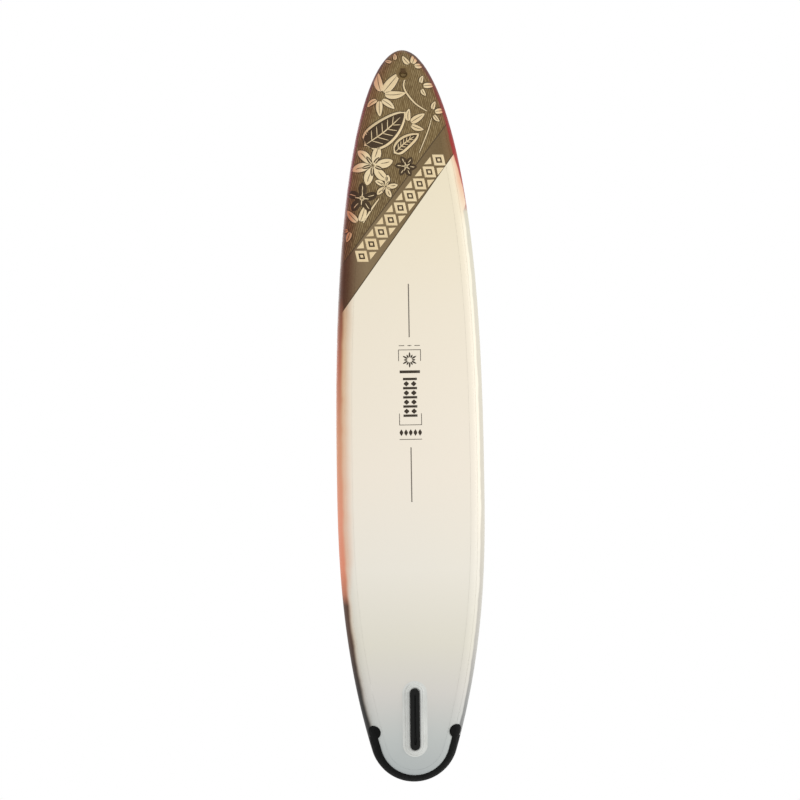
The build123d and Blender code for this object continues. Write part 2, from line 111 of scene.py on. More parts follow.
def directions(x):
    """Unit vectors along the board and out of its deck at x."""
    angle = rocker(x)[1]
    along = Vector((math.cos(angle), 0, math.sin(angle)))
    return along, Vector((-math.sin(angle), 0, math.cos(angle)))


def on_hull(x, offset, y=0.0):
    """The point offset above the mid-surface, square to it."""
    return Vector((x, y, rocker(x)[0])) + directions(x)[1] * offset


def body_width(x):
    """Half-width behind the widest point, ahead of the round tail, and its slope."""
    reach = WIDEST_X + LENGTH / 2 - TAIL_JOIN
    join = math.sqrt(TAIL_R**2 - (TAIL_R - TAIL_JOIN) ** 2)
    drop = WIDTH / 2 - join
    power = (TAIL_R - TAIL_JOIN) / join * reach / drop
    share = (WIDEST_X - x) / reach
    return WIDTH / 2 - drop * share**power, drop * power * share ** (power - 1) / reach


def half_width(x):
    """Half of the board's width at x."""
    x = min(max(x, -LENGTH / 2), LENGTH / 2)
    if x > WIDEST_X:
        share = (x - WIDEST_X) / (LENGTH / 2 - WIDEST_X)
        return WIDTH / 2 * math.sqrt(max(0.0, 1 - share**NOSE_POWER))
    if x > TAIL_JOIN - LENGTH / 2:
        return body_width(x)[0]
    back = TAIL_R - (x + LENGTH / 2)
    return math.sqrt(max(0.0, TAIL_R**2 - back**2))


def nose_stations():
    """Plan points with outward directions, from the nose tip to the widest point."""
    span = LENGTH / 2 - WIDEST_X
    found = []
    for step in range(NOSE_STEPS, -1, -1):
        share = 1 - (1 - step / NOSE_STEPS) ** 2
        width = math.sqrt(1 - share**NOSE_POWER)
        out = Vector(
            (WIDTH / 2 * NOSE_POWER * share ** (NOSE_POWER - 1), 2 * span * width)
        )
        found.append((WIDEST_X + span * share, WIDTH / 2 * width, out.normalized()))
    return found


def body_stations():
    """Plan points between the widest point and the round tail."""
    reach = WIDEST_X + LENGTH / 2 - TAIL_JOIN
    found = []
    for step in range(1, BODY_STEPS + 1):
        x = WIDEST_X - reach * step / BODY_STEPS
        width, slope = body_width(x)
        found.append((x, width, Vector((-slope, 1)).normalized()))
    return found


def tail_stations():
    """Plan points on the round tail, ending on the centreline."""
    join = math.atan2(
        math.sqrt(TAIL_R**2 - (TAIL_R - TAIL_JOIN) ** 2), -(TAIL_R - TAIL_JOIN)
    )
    found = []
    for step in range(1, TAIL_STEPS + 1):
        angle = join + (math.pi - join) * step / TAIL_STEPS
        out = Vector((math.cos(angle), math.sin(angle) if step < TAIL_STEPS else 0.0))
        found.append((TAIL_R - LENGTH / 2 + TAIL_R * out.x, TAIL_R * out.y, out))
    return found


LEFT_OUTLINE = nose_stations() + body_stations() + tail_stations()


def rail_frame(station, side=1):
    """Centre of the rail's half circle at a station, with its outward and upward directions."""
    x, y, out = station
    centre_x = x - RAIL_R * out.x
    along, up = directions(centre_x)
    away = (along * (out.x * along.x) + Vector((0, side * out.y, 0))).normalized()
    return on_hull(centre_x, 0, side * (y - RAIL_R * out.y)), away, up


def rail_point(station, side, angle, radius):
    """A point on the rail; angle 0 is its outermost line and 90 its deck edge."""
    centre, away, up = rail_frame(station, side)
    turn = math.radians(angle)
    return centre + (away * math.cos(turn) + up * math.sin(turn)) * radius


# ---------------------------------------------------------------- mesh helpers
def link(name, data):
    """Adds an object that shows this data to the scene."""
    obj = bpy.data.objects.new(name, data)
    bpy.context.scene.collection.objects.link(obj)
    return obj


def dressed(obj, material):
    """Gives a mesh object smooth faces and one material."""
    mesh = obj.data
    mesh.polygons.foreach_set("use_smooth", [True] * len(mesh.polygons))
    mesh.materials.clear()
    mesh.materials.append(material)
    return obj


def circle(count):
    """(cosine, sine) of count even steps round a circle."""
    turns = [2 * math.pi * k / count for k in range(count)]
    return [(math.cos(turn), math.sin(turn)) for turn in turns]


def ease_in_out(share):
    """0 to 1 with a level start and end, held beyond."""
    share = min(1.0, max(0.0, share))
    return share * share * (3 - 2 * share)


def new_object(name, points, faces, material):
    """A smooth mesh object with a material."""
    mesh = bpy.data.meshes.new(name)
    mesh.from_pydata([tuple(p) for p in points], [], faces)
    mesh.update()
    return dressed(link(name, mesh), material)


def outward(obj):
    """Turns every face of a closed mesh outwards."""
    work = bmesh.new()
    work.from_mesh(obj.data)
    bmesh.ops.remove_doubles(work, verts=work.verts, dist=1e-6)
    bmesh.ops.recalc_face_normals(work, faces=work.faces)
    work.to_mesh(obj.data)
    work.free()
    return obj


def tube(rings, closed=False):
    """Points and faces of a skin through rings of equal length, with end caps unless closed."""
    count = len(rings[0])
    points = [p for ring in rings for p in ring]
    faces = []
    last = len(rings) if closed else len(rings) - 1
    for i in range(last):
        a, b = i * count, (i + 1) % len(rings) * count
        for j in range(count):
            k = (j + 1) % count
            faces.append((a + j, a + k, b + k, b + j))
    if not closed:
        faces.append(tuple(reversed(range(count))))
        faces.append(tuple(range((len(rings) - 1) * count, len(rings) * count)))
    return points, faces


def sharpen(obj, degrees=40):
    """Smooth shading that keeps real corners sharp."""
    obj.data.set_sharp_from_angle(angle=math.radians(degrees))
    return obj


def skin(name, rings, material, corner, closed=False):
    """A closed piece through rings, smooth but for corners past corner degrees."""
    return sharpen(outward(new_object(name, *tube(rings, closed), material)), corner)


def put(obj, body, slot, *nodes):
    """Rides a piece on its body and hides the CAD nodes that it stands for; slot is not used."""
    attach(obj, body)
    if nodes:
        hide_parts(*nodes)
    return obj


# ---------------------------------------------------------------- materials
def linear(red, green, blue):
    """A colour given as 0 to 255 display values, as the linear values that shaders take."""
    values = []
    for value in (red, green, blue):
        value /= 255
        low = value <= 0.04045
        values.append(value / 12.92 if low else ((value + 0.055) / 1.055) ** 2.4)
    return (*values, 1.0)


class Paint:
    """A Principled material and short calls for the nodes that feed it."""

    def __init__(self, name, roughness=0.5, metallic=0.0, specular=0.5):
        self.material = bpy.data.materials.new(name)
        self.material.use_nodes = True
        self.tree = self.material.node_tree
        self.shader = self.tree.nodes["Principled BSDF"]
        self.shader.inputs["Roughness"].default_value = roughness
        self.shader.inputs["Metallic"].default_value = metallic
        self.shader.inputs["Specular IOR Level"].default_value = specular
        self.height = None

    def node(self, kind, settings=(), **inputs):
        made = self.tree.nodes.new(kind)
        for key, value in dict(settings).items():
            setattr(made, key, value)
        for key, value in inputs.items():
            self.feed(made.inputs[key.replace("_", " ")], value)
        return made

    def feed(self, socket, value):
        if isinstance(value, bpy.types.NodeSocket):
            self.tree.links.new(value, socket)
        else:
            socket.default_value = value

    def place(self):
        """The object's own coordinates, which are the shared frame in metres."""
        return self.node("ShaderNodeTexCoord").outputs["Object"]

    def axes(self):
        """X, Y and Z of the surface point."""
        made = self.node("ShaderNodeSeparateXYZ")
        self.feed(made.inputs[0], self.place())
        return made.outputs

    def stretched(self, scale):
        """The surface point scaled along each axis."""
        made = self.node("ShaderNodeMapping")
        self.feed(made.inputs["Vector"], self.place())
        made.inputs["Scale"].default_value = scale
        return made.outputs[0]

    def math(self, operation, first, second):
        made = self.node("ShaderNodeMath", {"operation": operation})
        self.feed(made.inputs[0], first)
        self.feed(made.inputs[1], second)
        return made.outputs[0]

    def noise(self, scale, detail, vector=None):
        made = self.node("ShaderNodeTexNoise", Scale=scale, Detail=detail, Roughness=0.55)
        self.feed(made.inputs["Vector"], vector or self.place())
        return made.outputs["Fac"]

    def span(self, value, low, high, to_low=0.0, to_high=1.0, smooth=False):
        """value's stretch from low to high, moved to to_low to to_high and held beyond."""
        made = self.node("ShaderNodeMapRange")
        made.interpolation_type = "SMOOTHSTEP" if smooth else "LINEAR"
        sockets = ("Value", "From Min", "From Max", "To Min", "To Max")
        for socket, given in zip(sockets, (value, low, high, to_low, to_high)):
            self.feed(made.inputs[socket], given)
        return made.outputs["Result"]

    def cloud(self, scale, detail, low=0.0, high=1.0):
        """Soft noise that wanders from low to high."""
        return self.span(self.noise(scale, detail), 0.3, 0.7, low, high)

    def mix(self, amount, first, second, blend="MIX"):
        made = self.node("ShaderNodeMix", {"data_type": "RGBA", "blend_type": blend})
        self.feed(made.inputs["Factor"], amount)
        self.feed(made.inputs[6], first)
        self.feed(made.inputs[7], second)
        return made.outputs[2]

    def ramp(self, value, stops):
        """A colour ramp of (place from 0 to 1, colour) stops."""
        made = self.node("ShaderNodeValToRGB")
        self.feed(made.inputs[0], value)
        band = made.color_ramp
        while len(band.elements) > 1:
            band.elements.remove(band.elements[-1])
        band.elements[0].position, band.elements[0].color = stops[0]
        for at, colour in stops[1:]:
            band.elements.new(at).color = colour
        return made.outputs[0]

    def attribute(self, name):
        made = self.node("ShaderNodeAttribute", {"attribute_name": name})
        return made.outputs["Fac"]

    def colour(self, value):
        self.feed(self.shader.inputs["Base Color"], value)
        return self

    def rough(self, value):
        self.feed(self.shader.inputs["Roughness"], value)
        return self

    def bump(self, value, strength, distance):
        """Adds one layer of bump on top of the ones before it."""
        made = self.node("ShaderNodeBump", Strength=strength, Distance=distance)
        self.feed(made.inputs["Height"], value)
        if self.height is not None:
            self.feed(made.inputs["Normal"], self.height)
        self.height = made.outputs["Normal"]
        self.feed(self.shader.inputs["Normal"], self.height)
        return self


def stripes(paint, scale, axis="X", distortion=0.0, vector=None):
    """Parallel bands across an axis."""
    made = paint.node(
        "ShaderNodeTexWave",
        {"wave_type": "BANDS", "bands_direction": axis},
        Scale=scale,
        Distortion=distortion,
    )
    paint.feed(made.inputs["Vector"], vector or paint.place())
    return made.outputs["Fac"]


def wave_scale(pitch):
    """The scale of a wave texture whose bands are about pitch metres apart."""
    return 1 / pitch / 6.283 * 1.57


def cloth_grain(paint):
    """The fine crossed grain of coated fabric."""
    scale = wave_scale(0.0016)
    crossed = paint.math("MULTIPLY", stripes(paint, scale), stripes(paint, scale, "Y"))
    return paint.bump(crossed, 0.12, 0.0002)


def along_share(paint):
    """0 at the tail and 1 at the nose."""
    return paint.span(paint.axes()["X"], -LENGTH / 2, LENGTH / 2)


def at_x(x):
    """Where x falls on a ramp from the tail to the nose."""
    return (x + LENGTH / 2) / LENGTH


def stops(*rows):
    """Ramp stops from rows of x in metres and a display colour."""
    return [(at_x(x), linear(*colour)) for x, *colour in rows]


CREAM = linear(238, 229, 209)
HULL_STOPS = stops(
    (-1.90, 164, 173, 176), (-1.66, 190, 195, 193), (-1.44, 212, 209, 203),
    (-1.18, 224, 220, 206), (-0.80, 236, 231, 219), (-0.30, 241, 232, 217),
    (0.55, 240, 230, 210), (1.30, 239, 227, 198),
)
RIGHT_RIM_STOPS = stops(
    (-1.90, 22, 22, 21), (-1.45, 42, 38, 35), (-1.15, 84, 60, 46),
    (-0.98, 88, 62, 47), (-0.92, 196, 124, 96), (-0.80, 232, 146, 116),
    (-0.55, 238, 156, 126), (-0.15, 222, 158, 122), (0.25, 190, 112, 84),
    (0.48, 150, 88, 62), (0.62, 98, 62, 46), (0.90, 118, 76, 58),
    (1.06, 126, 62, 50), (1.16, 118, 14, 26), (1.50, 122, 26, 24),
    (1.86, 84, 34, 26),
)
GLOW_STOPS = stops(
    (-1.80, 150, 140, 130), (-1.40, 176, 158, 142), (-1.05, 226, 190, 160),
    (-0.85, 248, 196, 168), (-0.40, 250, 196, 166), (0.30, 236, 194, 150),
    (0.60, 208, 158, 122), (0.90, 206, 128, 100), (1.20, 226, 120, 100),
    (1.55, 240, 150, 122),
)
# Left rail colours from tail to nose: the grey from the tail to X = 1.04 m is painted shade on the
# rail where it turns away, darker towards the tail; the red ahead of it is the printed pinstripe.
LEFT_RIM_PRINT_AND_SHADE_STOPS = stops(
    (-1.90, 58, 58, 58), (-1.70, 98, 98, 98), (-1.50, 142, 142, 140),
    (-1.20, 182, 179, 172), (-0.60, 206, 200, 186), (0.40, 212, 206, 190),
    (1.04, 208, 204, 186), (1.08, 172, 62, 60), (1.35, 158, 36, 36),
    (1.60, 128, 40, 34), (1.86, 84, 56, 42),
)


def hatch_colour(paint):
    """Printed ground: an olive brown tint under fine slanting hatch lines."""
    slanted = paint.node("ShaderNodeMapping")
    paint.feed(slanted.inputs["Vector"], paint.place())
    slanted.inputs["Rotation"].default_value = (0, 0, math.radians(12))
    lines = stripes(paint, 33.0, "Y", 1.2, slanted.outputs[0])
    broken = paint.noise(1.0, 4.0, paint.stretched((40.0, 220.0, 40.0)))
    ink = paint.math("MULTIPLY", lines, paint.span(broken, 0.3, 0.65))
    tint = paint.mix(paint.cloud(3.0, 3.0), linear(114, 92, 54), linear(98, 77, 47))
    return paint.mix(paint.span(ink, 0.15, 0.75, 0.0, 0.85), tint, linear(164, 143, 102))


def band_colour(paint):
    """The slanting band behind the print, darker and browner towards the right rail."""
    tone = paint.ramp(
        paint.span(paint.axes()["Y"], -WIDTH / 2, WIDTH / 2),
        [
            (0.06, linear(92, 62, 42)),
            (0.22, linear(132, 112, 82)),
            (0.72, linear(112, 92, 60)),
            (0.86, linear(128, 100, 66)),
        ],
    )
    grain = paint.span(paint.noise(120.0, 4.0), 0.4, 0.75, 0.0, 0.18)
    return paint.mix(grain, tone, linear(150, 132, 102))


def rail_tint(paint, colour):
    """Lays the tints that run along both rails over a colour, with painted shade on the left rail
    and a painted highlight just inside it.
    """
    share = along_share(paint)
    level = paint.attribute("level")
    below = paint.span(level, 0.0, 0.08, 1.0, 0.0)
    rim = paint.math("MULTIPLY", paint.attribute("rim"), below)
    soft = paint.cloud(9.0, 3.0, -0.003, 0.003)
    rim = paint.math("ADD", rim, soft)
    right = paint.ramp(share, RIGHT_RIM_STOPS)
    left = paint.ramp(share, LEFT_RIM_PRINT_AND_SHADE_STOPS)
    wide = paint.span(share, at_x(0.45), at_x(0.85), 0.036, 0.017)
    core = paint.span(rim, wide, paint.math("MULTIPLY", wide, 0.45), 0.0, 1.0, True)
    glow_reach = paint.span(share, at_x(-0.95), at_x(-0.70), 0.050, 0.088, True)
    glow = paint.span(rim, 0.012, glow_reach, 1.0, 0.0, True)
    glow = paint.math("MULTIPLY", glow, paint.span(share, at_x(1.0), at_x(1.2), 0.9, 0.55))
    right_side = paint.mix(glow, colour, paint.ramp(share, GLOW_STOPS), "MULTIPLY")
    right_side = paint.mix(core, right_side, right)
    # Reach of the left rail colours in from the outline: a 25 mm strip of painted shade on the rail
    # back from X = 1.04 m, then a printed red line that widens towards the nose.
    line_reach = paint.span(share, at_x(1.06), at_x(1.40), 0.002, 0.024, True)
    rail_shade_reach = paint.span(share, at_x(1.04), at_x(1.09), 0.025, 0.0)
    reach = paint.math("MAXIMUM", line_reach, rail_shade_reach)
    left_amount = paint.span(paint.math("SUBTRACT", reach, rim), -0.003, 0.003, 0.0, 0.95)
    # Painted highlight: the left side turns paler from 60 mm to 22 mm in from the outline, fading
    # in from X = -0.75 m to -0.45 m and out from 0.95 m to 1.05 m.
    painted_highlight_fade = paint.span(rim, 0.060, 0.022, 0.0, 0.6, True)
    plain = paint.span(share, at_x(-0.75), at_x(-0.45))
    plain = paint.math("MULTIPLY", plain, paint.span(share, at_x(1.05), at_x(0.95)))
    pale = paint.math("MULTIPLY", painted_highlight_fade, plain)
    left_side = paint.mix(pale, colour, linear(250, 244, 226))
    warm = paint.span(rim, 0.055, 0.015, 0.0, 0.6, True)
    warm = paint.math("MULTIPLY", warm, paint.span(share, at_x(1.0), at_x(1.2)))
    left_side = paint.mix(warm, left_side, linear(240, 168, 138), "MULTIPLY")
    left_side = paint.mix(left_amount, left_side, left)
    on_left = paint.span(paint.axes()["Y"], -0.001, 0.001)
    tinted = paint.mix(on_left, right_side, left_side)
    return paint.mix(paint.span(level, 0.879, 0.881), tinted, CREAM)


def hull_colour(paint):
    """Cream that cools towards the tail, with the printed fields at the nose."""
    base = paint.ramp(along_share(paint), HULL_STOPS)
    base = paint.mix(paint.cloud(1.3, 2.0, 0.0, 0.10), base, CREAM)
    axes = paint.axes()
    upper = paint.math("SUBTRACT", axes["X"], paint.math("MULTIPLY", axes["Y"], UPPER_SLOPE))
    lower = paint.math("SUBTRACT", axes["X"], paint.math("MULTIPLY", axes["Y"], LOWER_SLOPE))
    crisp = 0.0006
    in_band = paint.span(lower, LOWER_START - crisp, LOWER_START + crisp)
    in_field = paint.span(upper, UPPER_START - crisp, UPPER_START + crisp)
    border_low = paint.span(lower, LOWER_START + 0.010, LOWER_START + 0.008)
    border_high = paint.span(upper, UPPER_START - 0.010, UPPER_START - 0.008)
    border = paint.math("MAXIMUM", border_low, border_high)
    band = paint.mix(border, band_colour(paint), linear(84, 68, 46))
    base = paint.mix(in_band, base, band)
    base = paint.mix(in_field, base, hatch_colour(paint))
    return rail_tint(paint, base)


def hull_material(name, painted):
    """Coated drop-stitch fabric; painted adds the print and the shades along the rails."""
    paint = Paint(name, roughness=0.46, specular=0.22)
    if painted:
        paint.colour(hull_colour(paint))
    else:
        paint.colour(paint.mix(paint.cloud(2.2, 3.0), CREAM, linear(228, 219, 200)))
    paint.rough(paint.cloud(14.0, 4.0, 0.36, 0.48))
    cloth_grain(paint)
    return paint.material


def rubber_material(name, colour, worn):
    """Moulded rubber with fine pits and paler scuffs."""
    paint = Paint(name, roughness=0.62, specular=0.12)
    scuffs = paint.span(paint.noise(40.0, 6.0), 0.52, 0.75, 0.0, 0.6)
    paint.colour(paint.mix(scuffs, colour, worn))
    paint.rough(paint.cloud(90.0, 2.0, 0.5, 0.75))
    paint.bump(paint.noise(900.0, 2.0), 0.25, 0.0003)
    return paint.material


def plastic_material(name, colour, worn, roughness=0.4):
    """Moulded plastic with a fine spark-eroded grain."""
    paint = Paint(name, roughness=roughness, specular=0.22)
    patches = paint.span(paint.noise(25.0, 5.0), 0.45, 0.8, 0.0, 0.5)
    paint.colour(paint.mix(patches, colour, worn))
    paint.rough(paint.cloud(60.0, 3.0, roughness - 0.08, roughness + 0.1))
    paint.bump(paint.noise(1400.0, 2.0), 0.12, 0.0002)
    return paint.material


def steel_material(name):
    """Polished stainless wire with fine draw marks."""
    paint = Paint(name, roughness=0.24, metallic=1.0)
    tone = paint.noise(120.0, 4.0)
    paint.colour(paint.mix(tone, linear(176, 176, 174), linear(214, 214, 211)))
    paint.rough(paint.cloud(300.0, 3.0, 0.16, 0.34))
    paint.bump(paint.noise(1.0, 3.0, paint.stretched((400, 400, 90))), 0.08, 0.0001)
    return paint.material


def webbing_material(name, colour, thread, pitch=0.0022):
    """Woven strap: ribs across it and a thread pattern along it."""
    paint = Paint(name, roughness=0.85, specular=0.2)
    scale = wave_scale(pitch)
    ribs = stripes(paint, scale)
    warp = stripes(paint, scale * 1.6, "Y")
    weave = paint.math("MULTIPLY", ribs, warp)
    paint.colour(paint.mix(paint.span(weave, 0.1, 0.8), colour, thread))
    paint.bump(weave, 0.6, 0.0005)
    return paint.material


def foam_material(name, colour, dark):
    """Closed-cell foam with a small diamond tread, painted shade in its grooves, and specks."""
    paint = Paint(name, roughness=0.9, specular=0.15)
    turned = paint.node("ShaderNodeMapping")
    paint.feed(turned.inputs["Vector"], paint.place())
    turned.inputs["Rotation"].default_value = (0, 0, math.radians(45))
    scale = wave_scale(0.004)
    first = stripes(paint, scale, "X", vector=turned.outputs[0])
    second = stripes(paint, scale, "Y", vector=turned.outputs[0])
    diamonds = paint.math("MINIMUM", first, second)
    specks = paint.noise(700.0, 2.0)
    tone = paint.mix(paint.span(specks, 0.35, 0.7), colour, dark)
    # Painted shade: the tread's grooves are darkened up to halfway towards the dark colour.
    tone = paint.mix(paint.span(diamonds, 0.25, 0.0, 0.0, 0.5), tone, dark)
    wear = paint.span(paint.noise(5.0, 4.0), 0.4, 0.8, 0.0, 0.12)
    paint.colour(paint.mix(wear, tone, linear(190, 180, 160)))
    paint.bump(diamonds, 0.7, 0.0006)
    paint.bump(specks, 0.15, 0.0002)
    return paint.material


def ink_material(name, colour, other, scale=6.0, tinted=True):
    """Printed ink with slightly uneven density."""
    paint = Paint(name, roughness=0.46, specular=0.22)
    dots = paint.span(paint.noise(260.0, 2.0), 0.45, 0.7, 0.0, 0.18)
    tone = paint.mix(paint.cloud(scale, 5.0), colour, other)
    tone = paint.mix(dots, tone, linear(130, 110, 80))
    paint.colour(rail_tint(paint, tone) if tinted else tone)
    cloth_grain(paint)
    return paint.material


def floor_material(name):
    """A pale studio floor that only the camera sees, and only from above."""
    paint = Paint(name, roughness=0.9, specular=0.1)
    tone = paint.mix(paint.noise(0.6, 2.0), linear(236, 236, 234), linear(242, 242, 241))
    paint.colour(tone)
    paths = paint.node("ShaderNodeLightPath").outputs["Is Camera Ray"]
    behind = paint.node("ShaderNodeNewGeometry").outputs["Backfacing"]
    front = paint.math("SUBTRACT", 1.0, behind)
    seen = paint.math("MULTIPLY", paths, front)
    clear = paint.node("ShaderNodeBsdfTransparent")
    mixed = paint.node("ShaderNodeMixShader")
    paint.feed(mixed.inputs[0], seen)
    paint.tree.links.new(clear.outputs[0], mixed.inputs[1])
    paint.tree.links.new(paint.shader.outputs[0], mixed.inputs[2])
    output = paint.tree.nodes["Material Output"]
    paint.tree.links.new(mixed.outputs[0], output.inputs["Surface"])
    return paint.material


BOTTOM = hull_material("bottom_fabric", True)
DECK = hull_material("deck_fabric", False)
EDGE_RUBBER = rubber_material("edge_rubber", linear(8, 9, 8), linear(22, 23, 22))
SEAL_RUBBER = rubber_material("seal_rubber", linear(24, 24, 24), linear(48, 48, 47))
BOX_PLASTIC = plastic_material("fin_box_plastic", linear(7, 8, 6), linear(18, 18, 17))
VALVE_BLACK = plastic_material("valve_black", linear(26, 26, 27), linear(46, 46, 46), 0.34)
VALVE_GREY = plastic_material("valve_grey", linear(120, 120, 118), linear(142, 142, 140))
STEEL = steel_material("ring_steel")
WEBBING = webbing_material("strap_webbing", linear(22, 22, 22), linear(58, 57, 54))
GRIP = webbing_material("grip_fabric", linear(30, 30, 31), linear(52, 52, 52), pitch=0.0012)
FOAM = foam_material("deck_foam", linear(138, 120, 92), linear(98, 82, 60))
FOAM_DARK = foam_material("kick_foam", linear(70, 60, 48), linear(46, 40, 33))
INK_CREAM = ink_material("print_cream", linear(240, 220, 178), linear(230, 204, 158))
INK_DARK = ink_material("print_dark", linear(74, 56, 34), linear(60, 45, 28))
INK_LINE = ink_material("print_line", linear(96, 80, 58), linear(84, 70, 52))
INK_BLACK = ink_material("print_black", linear(46, 38, 30), linear(58, 50, 40), tinted=False)
THREAD = ink_material("sewing_thread", linear(70, 70, 68), linear(92, 91, 88), 400.0, False)
THREAD_BROWN = ink_material(
    "brown_thread", linear(150, 124, 84), linear(128, 104, 68), 400.0, False
)
WEBBING_BROWN = webbing_material("brown_webbing", linear(74, 54, 30), linear(120, 92, 56))
INK_GREY = ink_material("print_grey", linear(112, 104, 94), linear(98, 92, 84))
PATCH_BROWN = ink_material("patch_brown", linear(134, 110, 68), linear(120, 98, 60), 30.0, False)
PATCH_PALE = ink_material("patch_pale", linear(220, 222, 218), linear(210, 212, 208), 12.0, False)
COATED_RING = rubber_material("coated_ring", linear(66, 48, 20), linear(96, 74, 38))
PATCH_DARK = rubber_material("patch_dark", linear(30, 29, 28), linear(42, 41, 39))


# ---------------------------------------------------------------- hull
def add_rim(obj, with_level=True):
    """Stores each vertex's distance inside the plan outline, in metres, and its level.

    The level runs from -1 on the bottom to 1 on the deck.
    """
    points = [v.co for v in obj.data.vertices]
    rim = obj.data.attributes.new("rim", "FLOAT", "POINT")
    rim.data.foreach_set("value", [half_width(p.x) - abs(p.y) for p in points])
    level = obj.data.attributes.new("level", "FLOAT", "POINT")
    values = [(p.z - rocker(p.x)[0]) / HALF if with_level else -1.0 for p in points]
    level.data.foreach_set("value", values)
    return obj


def rail_tube(name, profile, side):
    """A closed layer along one rail; profile is a ring of (angle, radius)."""
    rings = [
        [rail_point(station, side, angle, radius) for angle, radius in profile]
        for station in LEFT_OUTLINE
    ]
    return add_rim(skin(name, rings, BOTTOM, 40))


def arc(start, end, radius, step=4.0):
    """(angle, radius) pairs from start to end."""
    count = max(2, int(abs(end - start) / step) + 1)
    return [(start + (end - start) * i / (count - 1), radius) for i in range(count)]


def make_panel(name, sign, material):
    """The bottom (sign -1) or deck (sign 1) face of the drop-stitch panel."""
    across = 25
    rings = []
    for x, y, out in LEFT_OUTLINE:
        reach = RAIL_R + 0.0004
        centre_x = x - reach * out.x
        width = max(0.0, y - reach * out.y)
        ring = []
        for offset, way in ((HALF, 1), (HALF - SKIN, -1)):
            for i in range(across):
                y_at = width * (2 * i / (across - 1) - 1) * way
                ring.append(on_hull(centre_x, sign * offset, y_at))
        rings.append(ring)
    obj = outward(new_object(name, *tube(rings), material))
    if sign > 0:
        cut_valve_hole(obj)
    return sharpen(add_rim(obj))


VALVE_X, VALVE_HOLE, HOLE_SIDES, HOLE_REACH = -1.590, 0.0195, 40, 0.12


def cut_valve_hole(obj):
    """Opens the round hole for the valve through both surfaces of the deck panel."""
    along, up = directions(VALVE_X)
    centre = on_hull(VALVE_X, HALF)
    work = bmesh.new()
    work.from_mesh(obj.data)

    def off_axis(point):
        gap = point - centre
        return gap - up * gap.dot(up)

    def near(face):
        gap = (face.calc_center_median() - centre).x
        closest = min(off_axis(v.co).length for v in face.verts)
        return closest < HOLE_REACH and abs(gap) < HOLE_REACH

    for cosine, sine in circle(HOLE_SIDES):
        out = along * cosine + Vector((0, 1, 0)) * sine
        faces = [f for f in work.faces if near(f)]
        edges = {e for f in faces for e in f.edges}
        points = {v for f in faces for v in f.verts}
        bmesh.ops.bisect_plane(
            work,
            geom=[*points, *edges, *faces],
            dist=1e-7,
            plane_co=centre + out * VALVE_HOLE,
            plane_no=out,
        )
    inside = VALVE_HOLE * math.cos(math.pi / HOLE_SIDES)
    gone = [f for f in work.faces if off_axis(f.calc_center_median()).length < inside]
    bmesh.ops.delete(work, geom=gone, context="FACES")
    rim = [e for e in work.edges if len(e.link_faces) == 1]
    bmesh.ops.bridge_loops(work, edges=rim)
    bmesh.ops.dissolve_degenerate(work, dist=1e-6, edges=work.edges)
    bmesh.ops.recalc_face_normals(work, faces=work.faces)
    work.to_mesh(obj.data)
    work.free()
    return obj


def make_hull():
    """The panel faces, side walls and outer rail layers."""
    bottom = make_panel("bottom_panel", -1, BOTTOM)
    deck = make_panel("deck_panel", 1, DECK)
    made = [bottom]
    put(bottom, "hull", "bottom_pvc", "bottom_skin")
    put(deck, "hull", "deck_pvc", "deck_skin")
    wall = arc(-90, 90, HALF) + arc(90, -90, HALF - SKIN, 12)
    edge = BAND_ANGLE
    lip = [(-edge, HALF + GAP), (-edge, RAIL_R - 0.0005), (-edge + 0.15, RAIL_R - BAND_LIP)]
    lip += [(-edge + 0.5, RAIL_R)]
    profile = lip + arc(-edge + 2, edge - 2, RAIL_R) + [(-a, r) for a, r in reversed(lip)]
    profile += arc(edge - 1, 1 - edge, HALF + GAP, 12)
    for side, name in ((1, "left"), (-1, "right")):
        body = rail_tube(f"side_wall_{name}", wall, side)
        band = rail_tube(f"rail_layer_{name}", profile, side)
        put(body, "hull", "wall_pvc", f"sidewall_{name}")
        put(band, "hull", f"band_{name}_pvc", f"rail_band_{name}")
        made += [body, band]
    return made


HULL_PIECES = make_hull()


def underside_tree():
    """A ray tree over one unbroken surface that follows the board's underside."""
    rows = []
    for station in LEFT_OUTLINE:
        row = []
        for side in (1, -1):
            rail = []
            for angle in (0, -10, -20, -30, -40, -50, -57, -62, -66, -70, -76, -82, -90):
                share = min(1.0, max(0.0, (-70 - angle) / 12))
                radius = RAIL_R + GAP + (HALF - RAIL_R) * share
                rail.append(rail_point(station, side, angle, radius))
            row += rail if side > 0 else list(reversed(rail))
        rows.append(row)
    points = [p for row in rows for p in row]
    count = len(rows[0])
    faces = []
    for i in range(len(rows) - 1):
        for j in range(count - 1):
            a = i * count + j
            faces.append((a, a + 1, a + count + 1, a + count))
    return BVHTree.FromPolygons(points, faces)


UNDERSIDE = underside_tree()


HULL_TREES = [UNDERSIDE] + [
    BVHTree.FromPolygons(
        [v.co for v in piece.data.vertices], [tuple(p.vertices) for p in piece.data.polygons]
    )
    for piece in HULL_PIECES
]


# ---------------------------------------------------------------- print on the bottom
# Thickness of the printed film, and how near the outline it may come
FILM, MARGIN = 0.00012, 0.0012
WELL_BELOW = -1.0


def drape(x, y, lift):
    """The point on the underside at plan place x, y, lifted off it by lift."""
    x = min(x, LENGTH / 2 - MARGIN)
    limit = max(0.0, half_width(x) - MARGIN)
    y = min(max(y, -limit), limit)
    start, upward = Vector((x, y, WELL_BELOW)), Vector((0, 0, 1))
    found = [tree.ray_cast(start, upward) for tree in HULL_TREES]
    found = [hit for hit in found if hit[0] is not None]
    if not found:
        return on_hull(x, -HALF - lift, y)
    place, normal = min(found, key=lambda hit: hit[0].z)[:2]
    if normal.z > 0:
        normal = -normal
    return place + normal * lift


